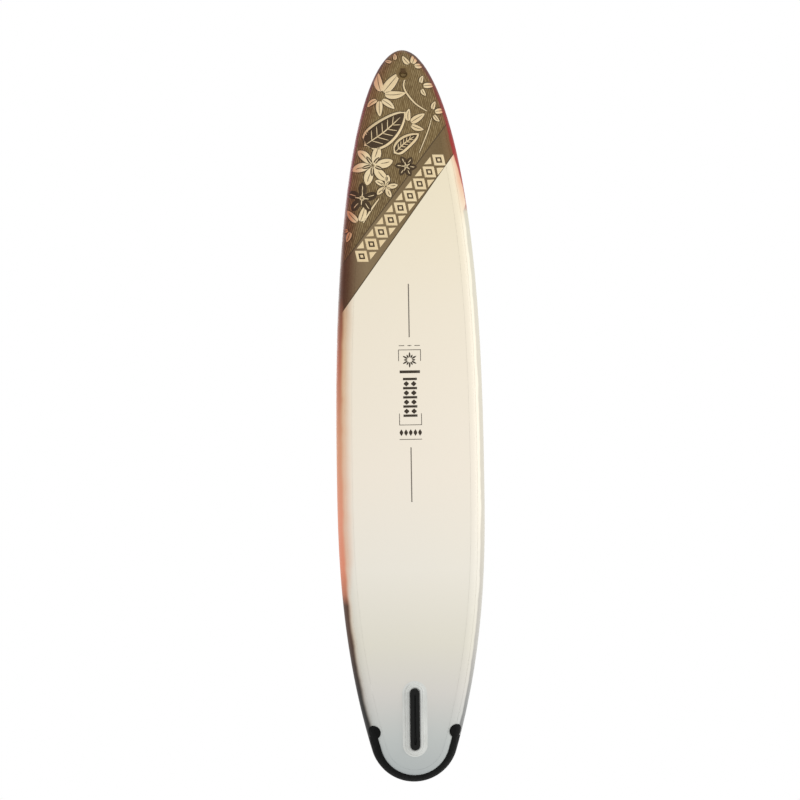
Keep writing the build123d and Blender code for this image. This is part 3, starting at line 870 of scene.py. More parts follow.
class Print:
    """Gathers flat shapes in plan and lays them on the underside as one thin mesh."""

    def __init__(self, name, lift, material):
        self.name, self.lift, self.material = name, lift, material
        self.points, self.faces = [], []

    def grid(self, rows):
        """Adds a sheet through rows of plan points of equal length."""
        start, count = len(self.points), len(rows[0])
        for row in rows:
            self.points += [drape(x, y, self.lift) for x, y in row]
        for i in range(len(rows) - 1):
            for j in range(count - 1):
                a = start + i * count + j
                self.faces.append((a, a + count, a + count + 1, a + 1))

    def finish(self):
        obj = outward(new_object(self.name, self.points, self.faces, self.material))
        work = bmesh.new()
        work.from_mesh(obj.data)
        bmesh.ops.remove_doubles(work, verts=work.verts, dist=1e-5)
        bmesh.ops.dissolve_degenerate(work, dist=1e-6, edges=work.edges)
        work.to_mesh(obj.data)
        work.free()
        add_rim(obj)
        film = obj.modifiers.new("film", "SOLIDIFY")
        film.thickness, film.offset = FILM, 0.0
        put(obj, "hull", "bottom_pvc")


def between(a, b, count):
    """Plan points from a to b."""
    return [
        (a[0] + (b[0] - a[0]) * i / (count - 1), a[1] + (b[1] - a[1]) * i / (count - 1))
        for i in range(count)
    ]


def curve_points(controls, count):
    """Plan points along a smooth curve through the control points."""
    padded = [controls[0], *controls, controls[-1]]
    found = []
    pieces = len(controls) - 1
    for k in range(count):
        t = k / (count - 1) * pieces
        i = min(int(t), pieces - 1)
        f = t - i
        p0, p1, p2, p3 = (np.array(padded[i + j]) for j in range(4))
        point = 0.5 * (
            2 * p1
            + (p2 - p0) * f
            + (2 * p0 - 5 * p1 + 4 * p2 - p3) * f**2
            + (3 * p1 - p0 - 3 * p2 + p3) * f**3
        )
        found.append((float(point[0]), float(point[1])))
    return found


def ribbon(sheet, controls, width, count, taper=0.0):
    """Adds a stroke of a given width along a curve, thinned towards its ends by taper."""
    line = curve_points(controls, count)
    rows = []
    for i, (x, y) in enumerate(line):
        before, after = line[max(0, i - 1)], line[min(count - 1, i + 1)]
        dx, dy = after[0] - before[0], after[1] - before[1]
        size = math.hypot(dx, dy) or 1.0
        share = math.sin(math.pi * i / (count - 1))
        half = width / 2 * (1 - taper + taper * share)
        nx, ny = -dy / size * half, dx / size * half
        rows.append(between((x - nx, y - ny), (x + nx, y + ny), 3))
    sheet.grid(rows)


def leaf(sheet, base, tip, width, bend=0.0, grow=0.0, fullness=0.42):
    """Adds a leaf from base to tip; grow widens it all round for an outline."""
    dx, dy = tip[0] - base[0], tip[1] - base[1]
    length = math.hypot(dx, dy)
    ux, uy = dx / length, dy / length
    count, across = 24, 9
    rows = []
    for i in range(count):
        t = i / (count - 1)
        s = -grow / length + t * (1 + 2 * grow / length)
        inside = min(max(s, 0.0), 1.0)
        shape = (inside**fullness * (1 - inside) ** 0.75) / 0.62
        half = width / 2 * shape + grow * math.sqrt(max(0.0, 1 - (2 * t - 1) ** 6))
        sway = bend * length * math.sin(math.pi * inside)
        x = base[0] + ux * s * length - uy * sway
        y = base[1] + uy * s * length + ux * sway
        rows.append(between((x + uy * half, y - ux * half), (x - uy * half, y + ux * half), across))
    sheet.grid(rows)


def vein(sheet, base, tip, bend, width=0.0032, reach=0.82):
    """Adds the midrib of a leaf."""
    dx, dy = tip[0] - base[0], tip[1] - base[1]
    middle = (base[0] + dx * 0.45 - dy * bend * 0.9, base[1] + dy * 0.45 + dx * bend * 0.9)
    end = (base[0] + dx * reach - dy * bend * 0.4, base[1] + dy * reach + dx * bend * 0.4)
    ribbon(sheet, [base, middle, end], width, 14, 0.75)


class Inks:
    """The layers of printed ink, each a hair above the one before."""

    def __init__(self):
        self.line = Print("print_outlines", 0.00025, INK_DARK)
        self.cream = Print("print_cream", 0.00050, INK_CREAM)
        self.dark = Print("print_dark_fills", 0.00075, INK_DARK)
        self.rib = Print("print_ribs", 0.00100, INK_LINE)
        self.light = Print("print_highlights", 0.00120, INK_CREAM)

    def finish(self):
        for sheet in (self.line, self.cream, self.dark, self.rib, self.light):
            sheet.finish()


def plain_leaf(inks, base, tip, width, bend):
    """A cream leaf with a dark outline and a midrib."""
    leaf(inks.line, base, tip, width, bend, 0.004)
    leaf(inks.cream, base, tip, width, bend)
    vein(inks.rib, base, tip, bend)


def dark_leaf(inks, base, tip, width, bend):
    """A big dark leaf inside a cream rim, with cream veins."""
    leaf(inks.line, base, tip, width, bend, 0.0165)
    leaf(inks.cream, base, tip, width, bend, 0.0125)
    leaf(inks.dark, base, tip, width, bend, 0.0)
    vein(inks.light, base, tip, bend, 0.0065, 0.88)
    dx, dy = tip[0] - base[0], tip[1] - base[1]
    length = math.hypot(dx, dy)
    for share in (0.14, 0.27, 0.40, 0.53, 0.66):
        far = share + 0.13
        reach = width / 2 * far**0.42 * (1 - far) ** 0.75 / 0.62 * 0.84
        sway = bend * length
        for way in (-1, 1):
            ends = []
            for at, side in ((share, 0.0), (far, way * reach)):
                off = sway * math.sin(math.pi * at) + side
                x = base[0] + dx * at - dy / length * off
                ends.append((x, base[1] + dy * at + dx / length * off))
            ribbon(inks.light, ends, 0.0042, 10, 0.6)


def flower(inks, centre, radius, petals, turn, dark=False):
    """A generic round flower: two rings of outlined petals about a seeded eye."""

    def at(angle, reach):
        return centre[0] + reach * math.cos(angle), centre[1] + reach * math.sin(angle)

    for k in range(petals):
        angle = turn + 2 * math.pi * k / petals
        base, tip = at(angle, radius * 0.08), at(angle, radius)
        leaf(inks.line, base, tip, radius * 0.80, 0.04, 0.0045, 0.85)
        leaf(inks.dark if dark else inks.cream, base, tip, radius * 0.80, 0.04, 0.0, 0.85)
        vein(inks.light if dark else inks.rib, at(angle, radius * 0.4), tip, 0.04, 0.004, 0.7)
    for k in range(petals - 1):
        angle = turn + 0.4 + 2 * math.pi * k / (petals - 1)
        base, tip = at(angle, radius * 0.04), at(angle, radius * 0.52)
        leaf(inks.dark, base, tip, radius * 0.32, 0.0, 0.0, 0.8)
        vein(inks.light, base, tip, 0.0, 0.005, 0.86)
    for k in range(9):
        angle = turn + 2 * math.pi * k / 9
        ribbon(inks.light, [at(angle, radius * 0.08), at(angle, radius * 0.17)], 0.005, 5)


def sprig(inks, root, heading, size, turns, width):
    """A fan of leaves from one root; turns are their headings from the middle one, in degrees."""
    for turn in turns:
        angle = math.radians(heading + turn)
        length = size * (1.0 - abs(turn) / 260)
        start = (root[0] + 0.018 * math.cos(angle), root[1] + 0.018 * math.sin(angle))
        tip = (root[0] + length * math.cos(angle), root[1] + length * math.sin(angle))
        plain_leaf(inks, start, tip, length * width, 0.0012 * turn)


def stem(inks, points, width):
    """A curved cream stem with a thin dark outline."""
    ribbon(inks.line, points, width + 0.006, 30, 0.35)
    ribbon(inks.cream, points, width, 30, 0.5)


def make_leaves(inks):
    """Sprigs and stems over the printed ground."""
    stem(inks, [(1.786, 0.030), (1.700, 0.000), (1.615, 0.050), (1.566, 0.116)], 0.009)
    stem(inks, [(1.110, -0.142), (1.050, -0.186), (0.985, -0.226)], 0.009)
    stem(inks, [(1.345, 0.070), (1.410, 0.098), (1.470, 0.122), (1.530, 0.140)], 0.006)
    for sprig_shape in (
        ((1.655, -0.118), 40, 0.156, (-46, 0, 46), 0.44),
        ((1.640, -0.128), 158, 0.110, (-30, 22, 74), 0.46),
        ((1.806, 0.042), 22, 0.094, (-58, 0, 56), 0.50),
        ((1.826, -0.042), -32, 0.062, (-38, 34), 0.46),
        ((1.700, 0.084), 84, 0.080, (-66, 0, 66), 0.48),
        ((1.497, 0.016), 62, 0.106, (-56, -4, 48), 0.46),
        ((1.558, 0.140), 78, 0.082, (-58, 0, 62), 0.46),
        ((0.975, -0.246), -4, 0.112, (-34, 22), 0.48),
        ((0.955, -0.286), 205, 0.074, (-4, 46), 0.46),
    ):
        sprig(inks, *sprig_shape)


def make_flowers(inks):
    """The big leaves and the flowers among them."""
    dark_leaf(inks, (1.392, -0.204), (1.556, -0.002), 0.150, 0.04)
    dark_leaf(inks, (1.352, -0.052), (1.440, 0.062), 0.064, -0.05)
    flower(inks, (1.282, -0.172), 0.108, 6, 0.3)
    flower(inks, (1.112, -0.230), 0.080, 5, 1.3, True)
    flower(inks, (1.172, -0.106), 0.062, 5, 0.2)
    flower(inks, (1.276, 0.000), 0.054, 6, 0.6, True)


BAND_START, BAND_END, BAND_HALF = (0.782, -0.262), (1.338, 0.196), 0.046


def along_band(share, across):
    """A point of the slanting band: share along its pattern, across from -1 to 1."""
    length = math.hypot(BAND_END[0] - BAND_START[0], BAND_END[1] - BAND_START[1])
    ux, uy = (BAND_END[0] - BAND_START[0]) / length, (BAND_END[1] - BAND_START[1]) / length
    x = BAND_START[0] + ux * length * share - uy * BAND_HALF * across
    y = BAND_START[1] + uy * length * share + ux * BAND_HALF * across
    return x, y


def band_block(sheet, left, right, low, high, ends):
    """A four-sided block of the band's pattern.

    Its low and high edges run between shares left and right, and are as long as ends says.
    """
    middle, half = (left + right) / 2, (right - left) / 2
    rows = []
    for i in range(9):
        share = i / 8
        reach = half * (ends[0] + (ends[1] - ends[0]) * share)
        across = low + (high - low) * share
        start, end = along_band(middle - reach, across), along_band(middle + reach, across)
        rows.append(between(start, end, 9))
    sheet.grid(rows)


def band_diamond(sheet, left, right, size):
    """A diamond between shares left and right, as high as size."""
    band_block(sheet, left, right, -size, 0.0, (0.0, 1.0))
    band_block(sheet, left, right, 0.0, size, (1.0, 0.0))


def make_band_pattern(inks):
    """A plain chain of diamonds and triangles along the band, in place of its lettering."""
    count = 9
    for k in range(count):
        left, right = (k + 0.04) / count, (k + 0.96) / count
        inner = 0.30 / count
        band_diamond(inks.cream, left, right, 0.98)
        band_diamond(inks.dark, left + inner * 0.75, right - inner * 0.75, 0.50)
        band_diamond(inks.light, left + inner * 1.15, right - inner * 1.15, 0.24)
    for k in range(1, count):
        left, right = (k - 0.33) / count, (k + 0.33) / count
        band_block(inks.cream, left, right, -0.98, -0.36, (1.0, 0.0))
        band_block(inks.cream, left, right, 0.36, 0.98, (0.0, 1.0))


def box_block(sheet, x_low, x_high, y_low, y_high, pinch=0.0):
    """Adds a rectangle, or a diamond with pinch 1, in plan."""
    rows = []
    count = max(5, int((x_high - x_low) / 0.008))
    for i in range(count + 1):
        x = x_low + (x_high - x_low) * i / count
        size = 1 - pinch * abs(2 * i / count - 1)
        middle, half = (y_low + y_high) / 2, (y_high - y_low) / 2 * size
        rows.append(between((x, middle - half), (x, middle + half), 5))
    sheet.grid(rows)


def make_centre_motif():
    """Pinstripes on the centreline and a column of bars and diamonds between them."""
    ink = Print("print_centre_motif", 0.0003, INK_BLACK)
    stripes_ink = Print("print_pinstripes", 0.0003, INK_GREY)
    for back, front in ((0.394, 0.668), (-0.451, -0.171)):
        box_block(stripes_ink, back, front, -0.0026, 0.0026)
    for side in (-1, 1):
        for back, front, middle, half in (
            (0.350, 0.353, 0.040, 0.014),
            (0.272, 0.331, 0.0565, 0.0015),
            (-0.056, 0.003, 0.0565, 0.0015),
        ):
            box_block(ink, back, front, side * middle - half, side * middle + half)
    box_block(ink, 0.349, 0.354, -0.014, 0.014, 1.0)
    for back, front, half in (
        (0.328, 0.331, 0.058),
        (-0.057, -0.054, 0.058),
        (-0.131, -0.128, 0.058),
        (0.210, 0.224, 0.052),
    ):
        box_block(ink, back, front, -half, half)
    sun_x, inner = 0.278, 0.012
    for k, (cosine, sine) in enumerate(circle(12)):
        outer = 0.040 if k % 2 == 0 else 0.030
        start, end = ((sun_x + reach * cosine, reach * sine) for reach in (inner, outer))
        leaf(ink, start, end, 0.013, 0.0, 0.0, 0.6)
    for k in range(5):
        x = 0.180 - k * 0.047
        box_block(ink, x - 0.006, x + 0.006, -0.036, 0.036)
        if k < 4:
            for side in (-1, 1):
                middle = side * 0.019
                box_block(ink, x - 0.038, x - 0.011, middle - 0.016, middle + 0.016, 1.0)
    for k in range(5):
        y = -0.048 + 0.024 * k
        box_block(ink, -0.112, -0.078, y - 0.011, y + 0.011, 1.0)
    ink.finish()
    stripes_ink.finish()


def make_print():
    """All the printed artwork on the bottom."""
    inks = Inks()
    make_leaves(inks)
    make_flowers(inks)
    make_band_pattern(inks)
    inks.finish()
    make_centre_motif()


make_print()


# ---------------------------------------------------------------- plates, rings and webbing
def outline(half_x, half_y, corner, inset, count=16):
    """Points of a rounded rectangle about the origin, drawn in by inset."""
    a, b = max(half_x - inset, 0.0002), max(half_y - inset, 0.0002)
    c = min(max(corner - inset, 0.00015), a, b)
    found = []
    for quarter in range(4):
        cx = (a - c) * (1 if quarter in (0, 3) else -1)
        cy = (b - c) * (1 if quarter in (0, 1) else -1)
        for k in range(count):
            angle = math.radians(90 * quarter + 90 * k / (count - 1))
            found.append((cx + c * math.cos(angle), cy + c * math.sin(angle)))
    return found


def plate(name, centre, size, corner, profile, side, look, nodes, ring=False):
    """A thin shape lying on the hull: profile is (inset, height) in mm from its outer edge.

    ring closes the profile on itself, for a shape with a hole; otherwise the middle is filled.
    look is a material and its slot.
    """
    material, slot = look
    rings = []
    for inset, height in profile:
        loop = outline(size[0] / 2, size[1] / 2, corner, inset / 1000)
        rings.append(
            [on_hull(centre[0] + x, side * (HALF + height / 1000), centre[1] + y) for x, y in loop]
        )
    obj = add_rim(skin(name, rings, material, 50, ring), False)
    return put(obj, "hull", slot, *nodes)


def patch_profile(radius, hole=None):
    """A welded patch: a thin feathered edge, a pressed line and a slightly crowned middle."""
    edge = [(0, 0.22), (0, 0.7), (0.3, 1.0), (1.0, 1.15), (3.2, 1.18), (3.9, 0.9), (5.0, 0.9)]
    edge += [(5.7, 1.16), (8.0, 1.2)]
    if hole:
        return edge + [(radius - hole - 1, 1.2), (radius - hole, 1.0), (radius - hole, 0.22)]
    return edge + [(radius * 0.6, 1.25), (radius - 0.3, 1.3)]


PATCH_UNDERSIDE = 0.21  # height of a patch's underside off the hull, in mm


def patch(name, centre, size, corner, side, look, nodes):
    """A welded patch, with an underside that makes it a closed solid."""
    profile = patch_profile(min(size) * 500)
    closed = [(profile[-1][0], PATCH_UNDERSIDE), (0.4, PATCH_UNDERSIDE)] + profile
    return plate(name, centre, size, corner, closed, side, look, nodes)


def hull_axes(x, side, y, turn):
    """Origin, forward, across and outward directions on the hull, for a fitting turned by turn."""
    along, up = directions(x)
    facing = up * side
    across = facing.cross(along)
    angle = math.radians(turn)
    forward = along * math.cos(angle) + across * math.sin(angle)
    return on_hull(x, side * HALF, y), forward, facing.cross(forward), facing


def sweep(axes, path, section):
    """Rings of a section of (across, up) points along a path of (forward, height) points."""
    origin, forward, across, up = axes
    rings = []
    for i, (u, h) in enumerate(path):
        before, after = path[max(0, i - 1)], path[min(len(path) - 1, i + 1)]
        du, dh = after[0] - before[0], after[1] - before[1]
        size = math.hypot(du, dh) or 1.0
        normal = forward * (-dh / size) + up * (du / size)
        centre = origin + forward * u + up * h
        rings.append([centre + across * s + normal * t for s, t in section])
    return rings


def strap(name, axes, path, width, thick, material, nodes):
    """Webbing that follows a path of (forward, height) points in metres on a fitting's axes."""
    section = outline(width / 2, thick / 2, thick * 0.48, 0.0, 5)
    return put(skin(name, sweep(axes, path, section), material, 60), "hull", "webbing", *nodes)


STITCH_PITCH = 0.0046


class Stitching:
    """Short raised threads gathered into one piece."""

    def __init__(self, name, material=THREAD):
        self.name, self.material = name, material
        self.points, self.faces = [], []

    def add(self, centre, direction, up, length=0.0032, radius=0.00035):
        side = up.cross(direction).normalized()
        start = len(self.points)
        for reach, size in ((-0.5, 0.35), (-0.32, 1.0), (0.32, 1.0), (0.5, 0.35)):
            middle = centre + direction * (length * reach)
            for cosine, sine in circle(6):
                self.points.append(middle + (side * cosine + up * sine) * radius * size)
        for i in range(3):
            for k in range(6):
                a, b = start + i * 6 + k, start + i * 6 + (k + 1) % 6
                self.faces.append((a, b, b + 6, a + 6))
        self.faces.append(tuple(start + k for k in reversed(range(6))))
        self.faces.append(tuple(start + 18 + k for k in range(6)))

    def row(self, start, end, up):
        gap = end - start
        count = max(1, int(gap.length / STITCH_PITCH))
        direction = gap.normalized()
        for k in range(count):
            self.add(start + gap * ((k + 0.5) / count), direction, up)

    def crossed_box(self, corners, up):
        """Stitches round four corners and along both diagonals."""
        for a, b in zip(corners, corners[1:] + corners[:1]):
            self.row(a, b, up)
        self.row(corners[0], corners[2], up)
        self.row(corners[1], corners[3], up)

    def finish(self, slot):
        put(outward(new_object(self.name, self.points, self.faces, self.material)), "hull", slot)


# Height of a ring's bar, the loop's turn round it, and how far the loop's end lies above its start
BAR, BAR_TURN, LOOP_STEP = 0.0058, 0.0035, 0.0013
LOOP_REACH, LOOP_WIDTH, LOOP_THICK = 0.026, 0.025, 0.0012


def loop_path():
    """Side view of a webbing loop: flat under the bar, round it and back to its own end."""
    low, high = BAR - BAR_TURN, BAR + BAR_TURN
    path = [(-LOOP_REACH * (1 - k / 6), low) for k in range(7)]
    for k in range(1, 12):
        angle = math.radians(-90 + 180 * k / 12)
        path.append((BAR_TURN * math.cos(angle), BAR + BAR_TURN * math.sin(angle)))
    for k in range(13):
        drop = (low + LOOP_STEP - high) * ease_in_out(k / 12)
        path.append((-LOOP_REACH * k / 12, high + drop))
    return path


def make_ring_mounts(kind, spots, webbing, thread, look):
    """Patches, folded loops and stitching of one kind of D-ring."""
    stitches = Stitching(f"{kind}_stitching", thread)
    one = len(spots) == 1
    for number, (x, side, y, turn) in enumerate(spots, start=1):
        patches = (f"{kind}_patch" if one else f"{kind}_patches",) if number == 1 else ()
        loops = (f"{kind}_loop" if one else f"{kind}_loops",) if number == 1 else ()
        size = (2 * RING_PATCH_R, 2 * RING_PATCH_R)
        patch(f"{kind}_base_{number}", (x, y), size, RING_PATCH_R, side, look, patches)
        axes = hull_axes(x, side, y, turn)
        name = f"{kind}_webbing_{number}"
        strap(name, axes, loop_path(), LOOP_WIDTH, LOOP_THICK, webbing, loops)
        origin, forward, across, up = axes
        corners = []
        for u, s in ((-0.0125, -0.0105), (-0.0125, 0.0105), (-0.0235, 0.0105), (-0.0235, -0.0105)):
            drop = (LOOP_STEP + 0.0023 - BAR - BAR_TURN) * ease_in_out(-u / LOOP_REACH)
            height = BAR + BAR_TURN + drop + 0.0007
            corners.append(origin + forward * u + across * s + up * height)
        stitches.crossed_box(corners, up)
    stitches.finish("webbing")


RING_PATCH_R = 0.037
BLACK_PATCH, PALE_PATCH = (PATCH_DARK, "patch_black"), (PATCH_PALE, "patch_white")
NOSE_RING_X, LEASH_RING_X = 1.749, -1.760
CARGO_SPOTS = [
    (0.780, 1, 0.215, -90),
    (0.780, 1, -0.215, 90),
    (1.240, 1, 0.150, -90),
    (1.240, 1, -0.150, 90),
]
make_ring_mounts(
    "nose_ring",
    [(NOSE_RING_X, -1, 0.0, 180)],
    WEBBING_BROWN,
    THREAD_BROWN,
    (PATCH_BROWN, "patch_brown"),
)
make_ring_mounts("leash_ring", [(LEASH_RING_X, 1, 0.0, 180)], WEBBING, THREAD, BLACK_PATCH)
make_ring_mounts("cargo_ring", CARGO_SPOTS, WEBBING, THREAD, BLACK_PATCH)


def make_fin_mount():
    """Base patch and the raised, rounded ring round the fin box."""
    centre = (-1.564, 0.0)
    patch("fin_box_base", centre, (0.392, 0.128), 0.064, -1, PALE_PATCH, ("fin_box_patch",))
    ring = [(0, 1.25), (0.2, 3.2), (1.2, 5.4), (3.2, 6.9), (6.0, 7.5), (8.6, 7.3), (9.8, 6.4)]
    ring += [(11.2, 6.4), (12.4, 7.3), (15.0, 7.8), (19.0, 7.7), (22.4, 6.9), (24.3, 5.2)]
    ring += [(25.0, 3.4), (25.0, 1.25)]
    nodes = ("fin_box_welt",)
    plate("fin_box_ring", centre, (0.372, 0.098), 0.049, ring, -1, PALE_PATCH, nodes, ring=True)


make_fin_mount()


STRIP_FRONT = -1.640


def make_tail_strip():
    """Rubber strip round the bottom edge of the tail, with a round pad at each end."""
    low, thick = RAIL_R + 0.0002, 0.0025
    start, stop = -68.0, -22.0
    top = low + thick
    profile = [(start, low), (start, top - 0.0009), (start + 0.25, top - 0.0003)]
    profile += [(start + 0.8, top)] + arc(start + 3, stop - 3, top, 4)
    profile += [(stop - 0.8, top), (stop - 0.25, top - 0.0003), (stop, top - 0.0009), (stop, low)]
    profile += arc(stop - 3, start + 3, low, 10)
    half = [s for s in LEFT_OUTLINE if s[0] <= STRIP_FRONT]
    both = [(s, 1) for s in half] + [(s, -1) for s in reversed(half[:-1])]
    rings = [[rail_point(s, side, a, r) for a, r in profile] for s, side in both]
    put(skin("tail_strip", rings, EDGE_RUBBER, 50), "hull", "edge_rubber", "tail_edge_strip")
    width, slope = body_width(STRIP_FRONT)
    station = (STRIP_FRONT, width, Vector((-slope, 1)).normalized())
    for side, name in ((1, "left"), (-1, "right")):
        centre, away, up = rail_frame(station, side)
        forward = away.cross(up)
        rings = []
        disc = [(0.5, 0.0), (35.2, 0.0), (36.0, 0.0), (36.0, 1.9), (35.7, 2.5), (34.8, 2.9)]
        disc += [(33.0, 2.95), (30.0, 2.95), (28.5, 2.6), (27.0, 2.6), (25.5, 2.95), (14.0, 3.0)]
        disc += [(0.5, 3.0)]
        for reach, height in disc:
            ring = []
            radius = low + height / 1000
            for cosine, sine in circle(48):
                angle = math.radians(-58.0) + reach / 1000 * sine / low
                out = away * math.cos(angle) + up * math.sin(angle)
                ring.append(centre + forward * (reach / 1000 * cosine) + out * radius)
            rings.append(ring)
        put(skin(f"tail_strip_end_{name}", rings, EDGE_RUBBER, 50), "hull", "edge_rubber")


make_tail_strip()


# ---------------------------------------------------------------- foam pads, handle and valve
def grooved(node, name, material, slot, pitch, width, depth, border, crosswise=False):
    """A foam pad with pressed grooves, cut into a copy of the CAD pad's shape."""
    work = bmesh.new()
    work.from_mesh(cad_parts[node].data)
    bmesh.ops.remove_doubles(work, verts=work.verts, dist=1e-5)
    low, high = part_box(node)
    axis = 0 if crosswise else 1
    normal = Vector((1, 0, 0)) if crosswise else Vector((0, 1, 0))
    middle = (low[axis] + high[axis]) / 2
    reach = (high[axis] - low[axis]) / 2 - border
    number = int(reach / pitch)
    centres = [middle + k * pitch for k in range(-number, number + 1)]
    for at in centres:
        for edge in (at - width / 2, at + width / 2):
            bmesh.ops.bisect_plane(
                work,
                geom=[*work.verts, *work.edges, *work.faces],
                plane_co=normal * edge,
                plane_no=normal,
            )
    work.faces.ensure_lookup_table()
    chosen = []
    for face in work.faces:
        centre = face.calc_center_median()
        nearest = min(abs(centre[axis] - at) for at in centres)
        if face.normal.z > 0.7 and nearest < width / 2:
            chosen.append(face)
    raised = bmesh.ops.extrude_face_region(work, geom=chosen)
    for item in raised["geom"]:
        if isinstance(item, bmesh.types.BMVert):
            item.co -= directions(item.co.x)[1] * depth
    bmesh.ops.delete(work, geom=chosen, context="FACES")
    bmesh.ops.dissolve_degenerate(work, dist=1e-6, edges=work.edges)
    bmesh.ops.recalc_face_normals(work, faces=work.faces)
    mesh = bpy.data.meshes.new(name)
    work.to_mesh(mesh)
    work.free()
    obj = sharpen(dressed(link(name, mesh), material), 35)
    put(obj, "hull", slot, node)


grooved("deck_pad", "deck_foam", FOAM, "eva", 0.030, 0.0034, 0.0022, 0.012)
grooved("tail_pad", "tail_foam", FOAM, "eva", 0.030, 0.0034, 0.0022, 0.012)
grooved("kick_pad", "kick_foam", FOAM_DARK, "eva_dark", 0.014, 0.003, 0.0018, 0.010, True)

HANDLE_X, HANDLE_FOOT, HANDLE_TOP = -0.040, 0.115, 0.045
FOOT = 0.0026
TAB_MIDDLE, TAB_END = 0.138, 0.1555
STRAP_WIDTH, STRAP_THICK = 0.038, 0.0024
GRIP_HALF_WIDTH, GRIP_REACH, GRIP_RINGS = 0.0228, math.radians(19.0), 61
RISE = HANDLE_TOP - FOOT
ARC_R = (HANDLE_FOOT**2 + RISE**2) / (2 * RISE)


def handle_path():
    """Side view of the strap: a flat tab, the arch and the other tab."""
    centre = HANDLE_TOP - ARC_R
    end = math.asin(HANDLE_FOOT / ARC_R)
    path = [(-TAB_END + 0.006 * k, FOOT) for k in range(7)]
    for k in range(1, 40):
        angle = -end + 2 * end * k / 40
        height = centre + ARC_R * math.cos(angle)
        ease = min(1.0, min(k, 40 - k) / 3)
        path.append((ARC_R * math.sin(angle), max(FOOT, FOOT + (height - FOOT) * ease**0.3)))
    return path + [(-u, h) for u, h in reversed(path[:7])]


def make_handle():
    """Strap with stitched tabs on their patches, and the padded grip."""
    for number, way in enumerate((-1, 1), start=1):
        nodes = ("handle_patches",) if number == 1 else ()
        place = (HANDLE_X + way * TAB_MIDDLE, 0.0)
        patch(f"handle_base_{number}", place, (0.058, 0.082), 0.012, 1, BLACK_PATCH, nodes)
    axes = hull_axes(HANDLE_X, 1, 0.0, 0.0)
    nodes = ["handle_webbing"]
    strap("handle_strap", axes, handle_path(), STRAP_WIDTH, STRAP_THICK, WEBBING, nodes)
    origin, forward, across, up = axes
    stitches = Stitching("handle_stitching")
    for way in (-1, 1):
        corners = []
        for u, s in ((0.121, -0.016), (0.121, 0.016), (0.152, 0.016), (0.152, -0.016)):
            corners.append(origin + forward * (way * u) + across * s + up * 0.0039)
        stitches.crossed_box(corners, up)
    stitches.finish("webbing")
    make_grip(origin, forward, across, up)


def make_grip(origin, forward, across, up):
    """The padded sleeve round the middle of the strap, with its seams."""
    centre = HANDLE_TOP - ARC_R
    rings = []
    seam = Stitching("grip_seams")
    for i in range(GRIP_RINGS):
        share = 2 * i / (GRIP_RINGS - 1) - 1
        angle = GRIP_REACH * share
        ends = math.sqrt(max(0.0, 1 - abs(share) ** 9))
        quilt = 1 - 0.10 * math.exp(-((share * 5 - round(share * 5)) * 5 / 0.9) ** 2)
        wide = GRIP_HALF_WIDTH * (0.80 + 0.20 * ends)
        thick = (0.0030 + 0.0058 * ends) * (quilt if abs(share) < 0.95 else 1)
        normal = forward * math.sin(angle) + up * math.cos(angle)
        along = forward * math.cos(angle) - up * math.sin(angle)
        height = centre + ARC_R * math.cos(angle)
        middle = origin + forward * (ARC_R * math.sin(angle)) + up * height
        ring = []
        for k in range(36):
            turn = 2 * math.pi * k / 36
            c, s = math.cos(turn), math.sin(turn)
            power = 0.72
            across_at = wide * math.copysign(abs(c) ** power, c)
            up_at = thick * math.copysign(abs(s) ** 0.85, s)
            wrinkle = 0.0003 * math.sin(9 * turn + 31 * share) * math.sin(17 * share)
            ring.append(middle + across * across_at + normal * (up_at + wrinkle))
        rings.append(ring)
        if 2 < i < GRIP_RINGS - 3 and i % 2 == 0:
            for way in (-1, 1):
                place = middle + across * (way * wide * 0.86) + normal * thick * 0.62
                seam.add(place, along, (normal + across * way).normalized(), 0.0028, 0.0003)
    grip = skin("padded_grip", rings, GRIP, 70)
    put(grip, "hull", "grip", "handle_grip")
    seam.finish("grip")


make_handle()


def make_valve():
    """Valve patch, return spring and the cap's soft tether."""
    place, size, profile = (VALVE_X, 0.0), (0.100, 0.100), patch_profile(50.0, 20.5)
    plate("valve_base", place, size, 0.050, profile, 1, BLACK_PATCH, ("valve_patch",), ring=True)
    origin, forward, across, up = hull_axes(VALVE_X, 1, 0.0, 0.0)
    rings = []
    low, high, turns, count = -0.0176, -0.0064, 6, 150
    coil_r, wire_r = 0.0046, 0.0004
    for i in range(count):
        share = i / (count - 1)
        angle = 2 * math.pi * turns * share
        out = forward * math.cos(angle) + across * math.sin(angle)
        centre = origin + out * coil_r + up * (low + (high - low) * share)
        rings.append([centre + (out * cosine + up * sine) * wire_r for cosine, sine in circle(8)])
    coil = outward(new_object("return_spring", *tube(rings), STEEL))
    put(coil, "hull", "spring_steel", "valve_spring")
    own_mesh(coil)
    make_tether(origin, forward, across, up)


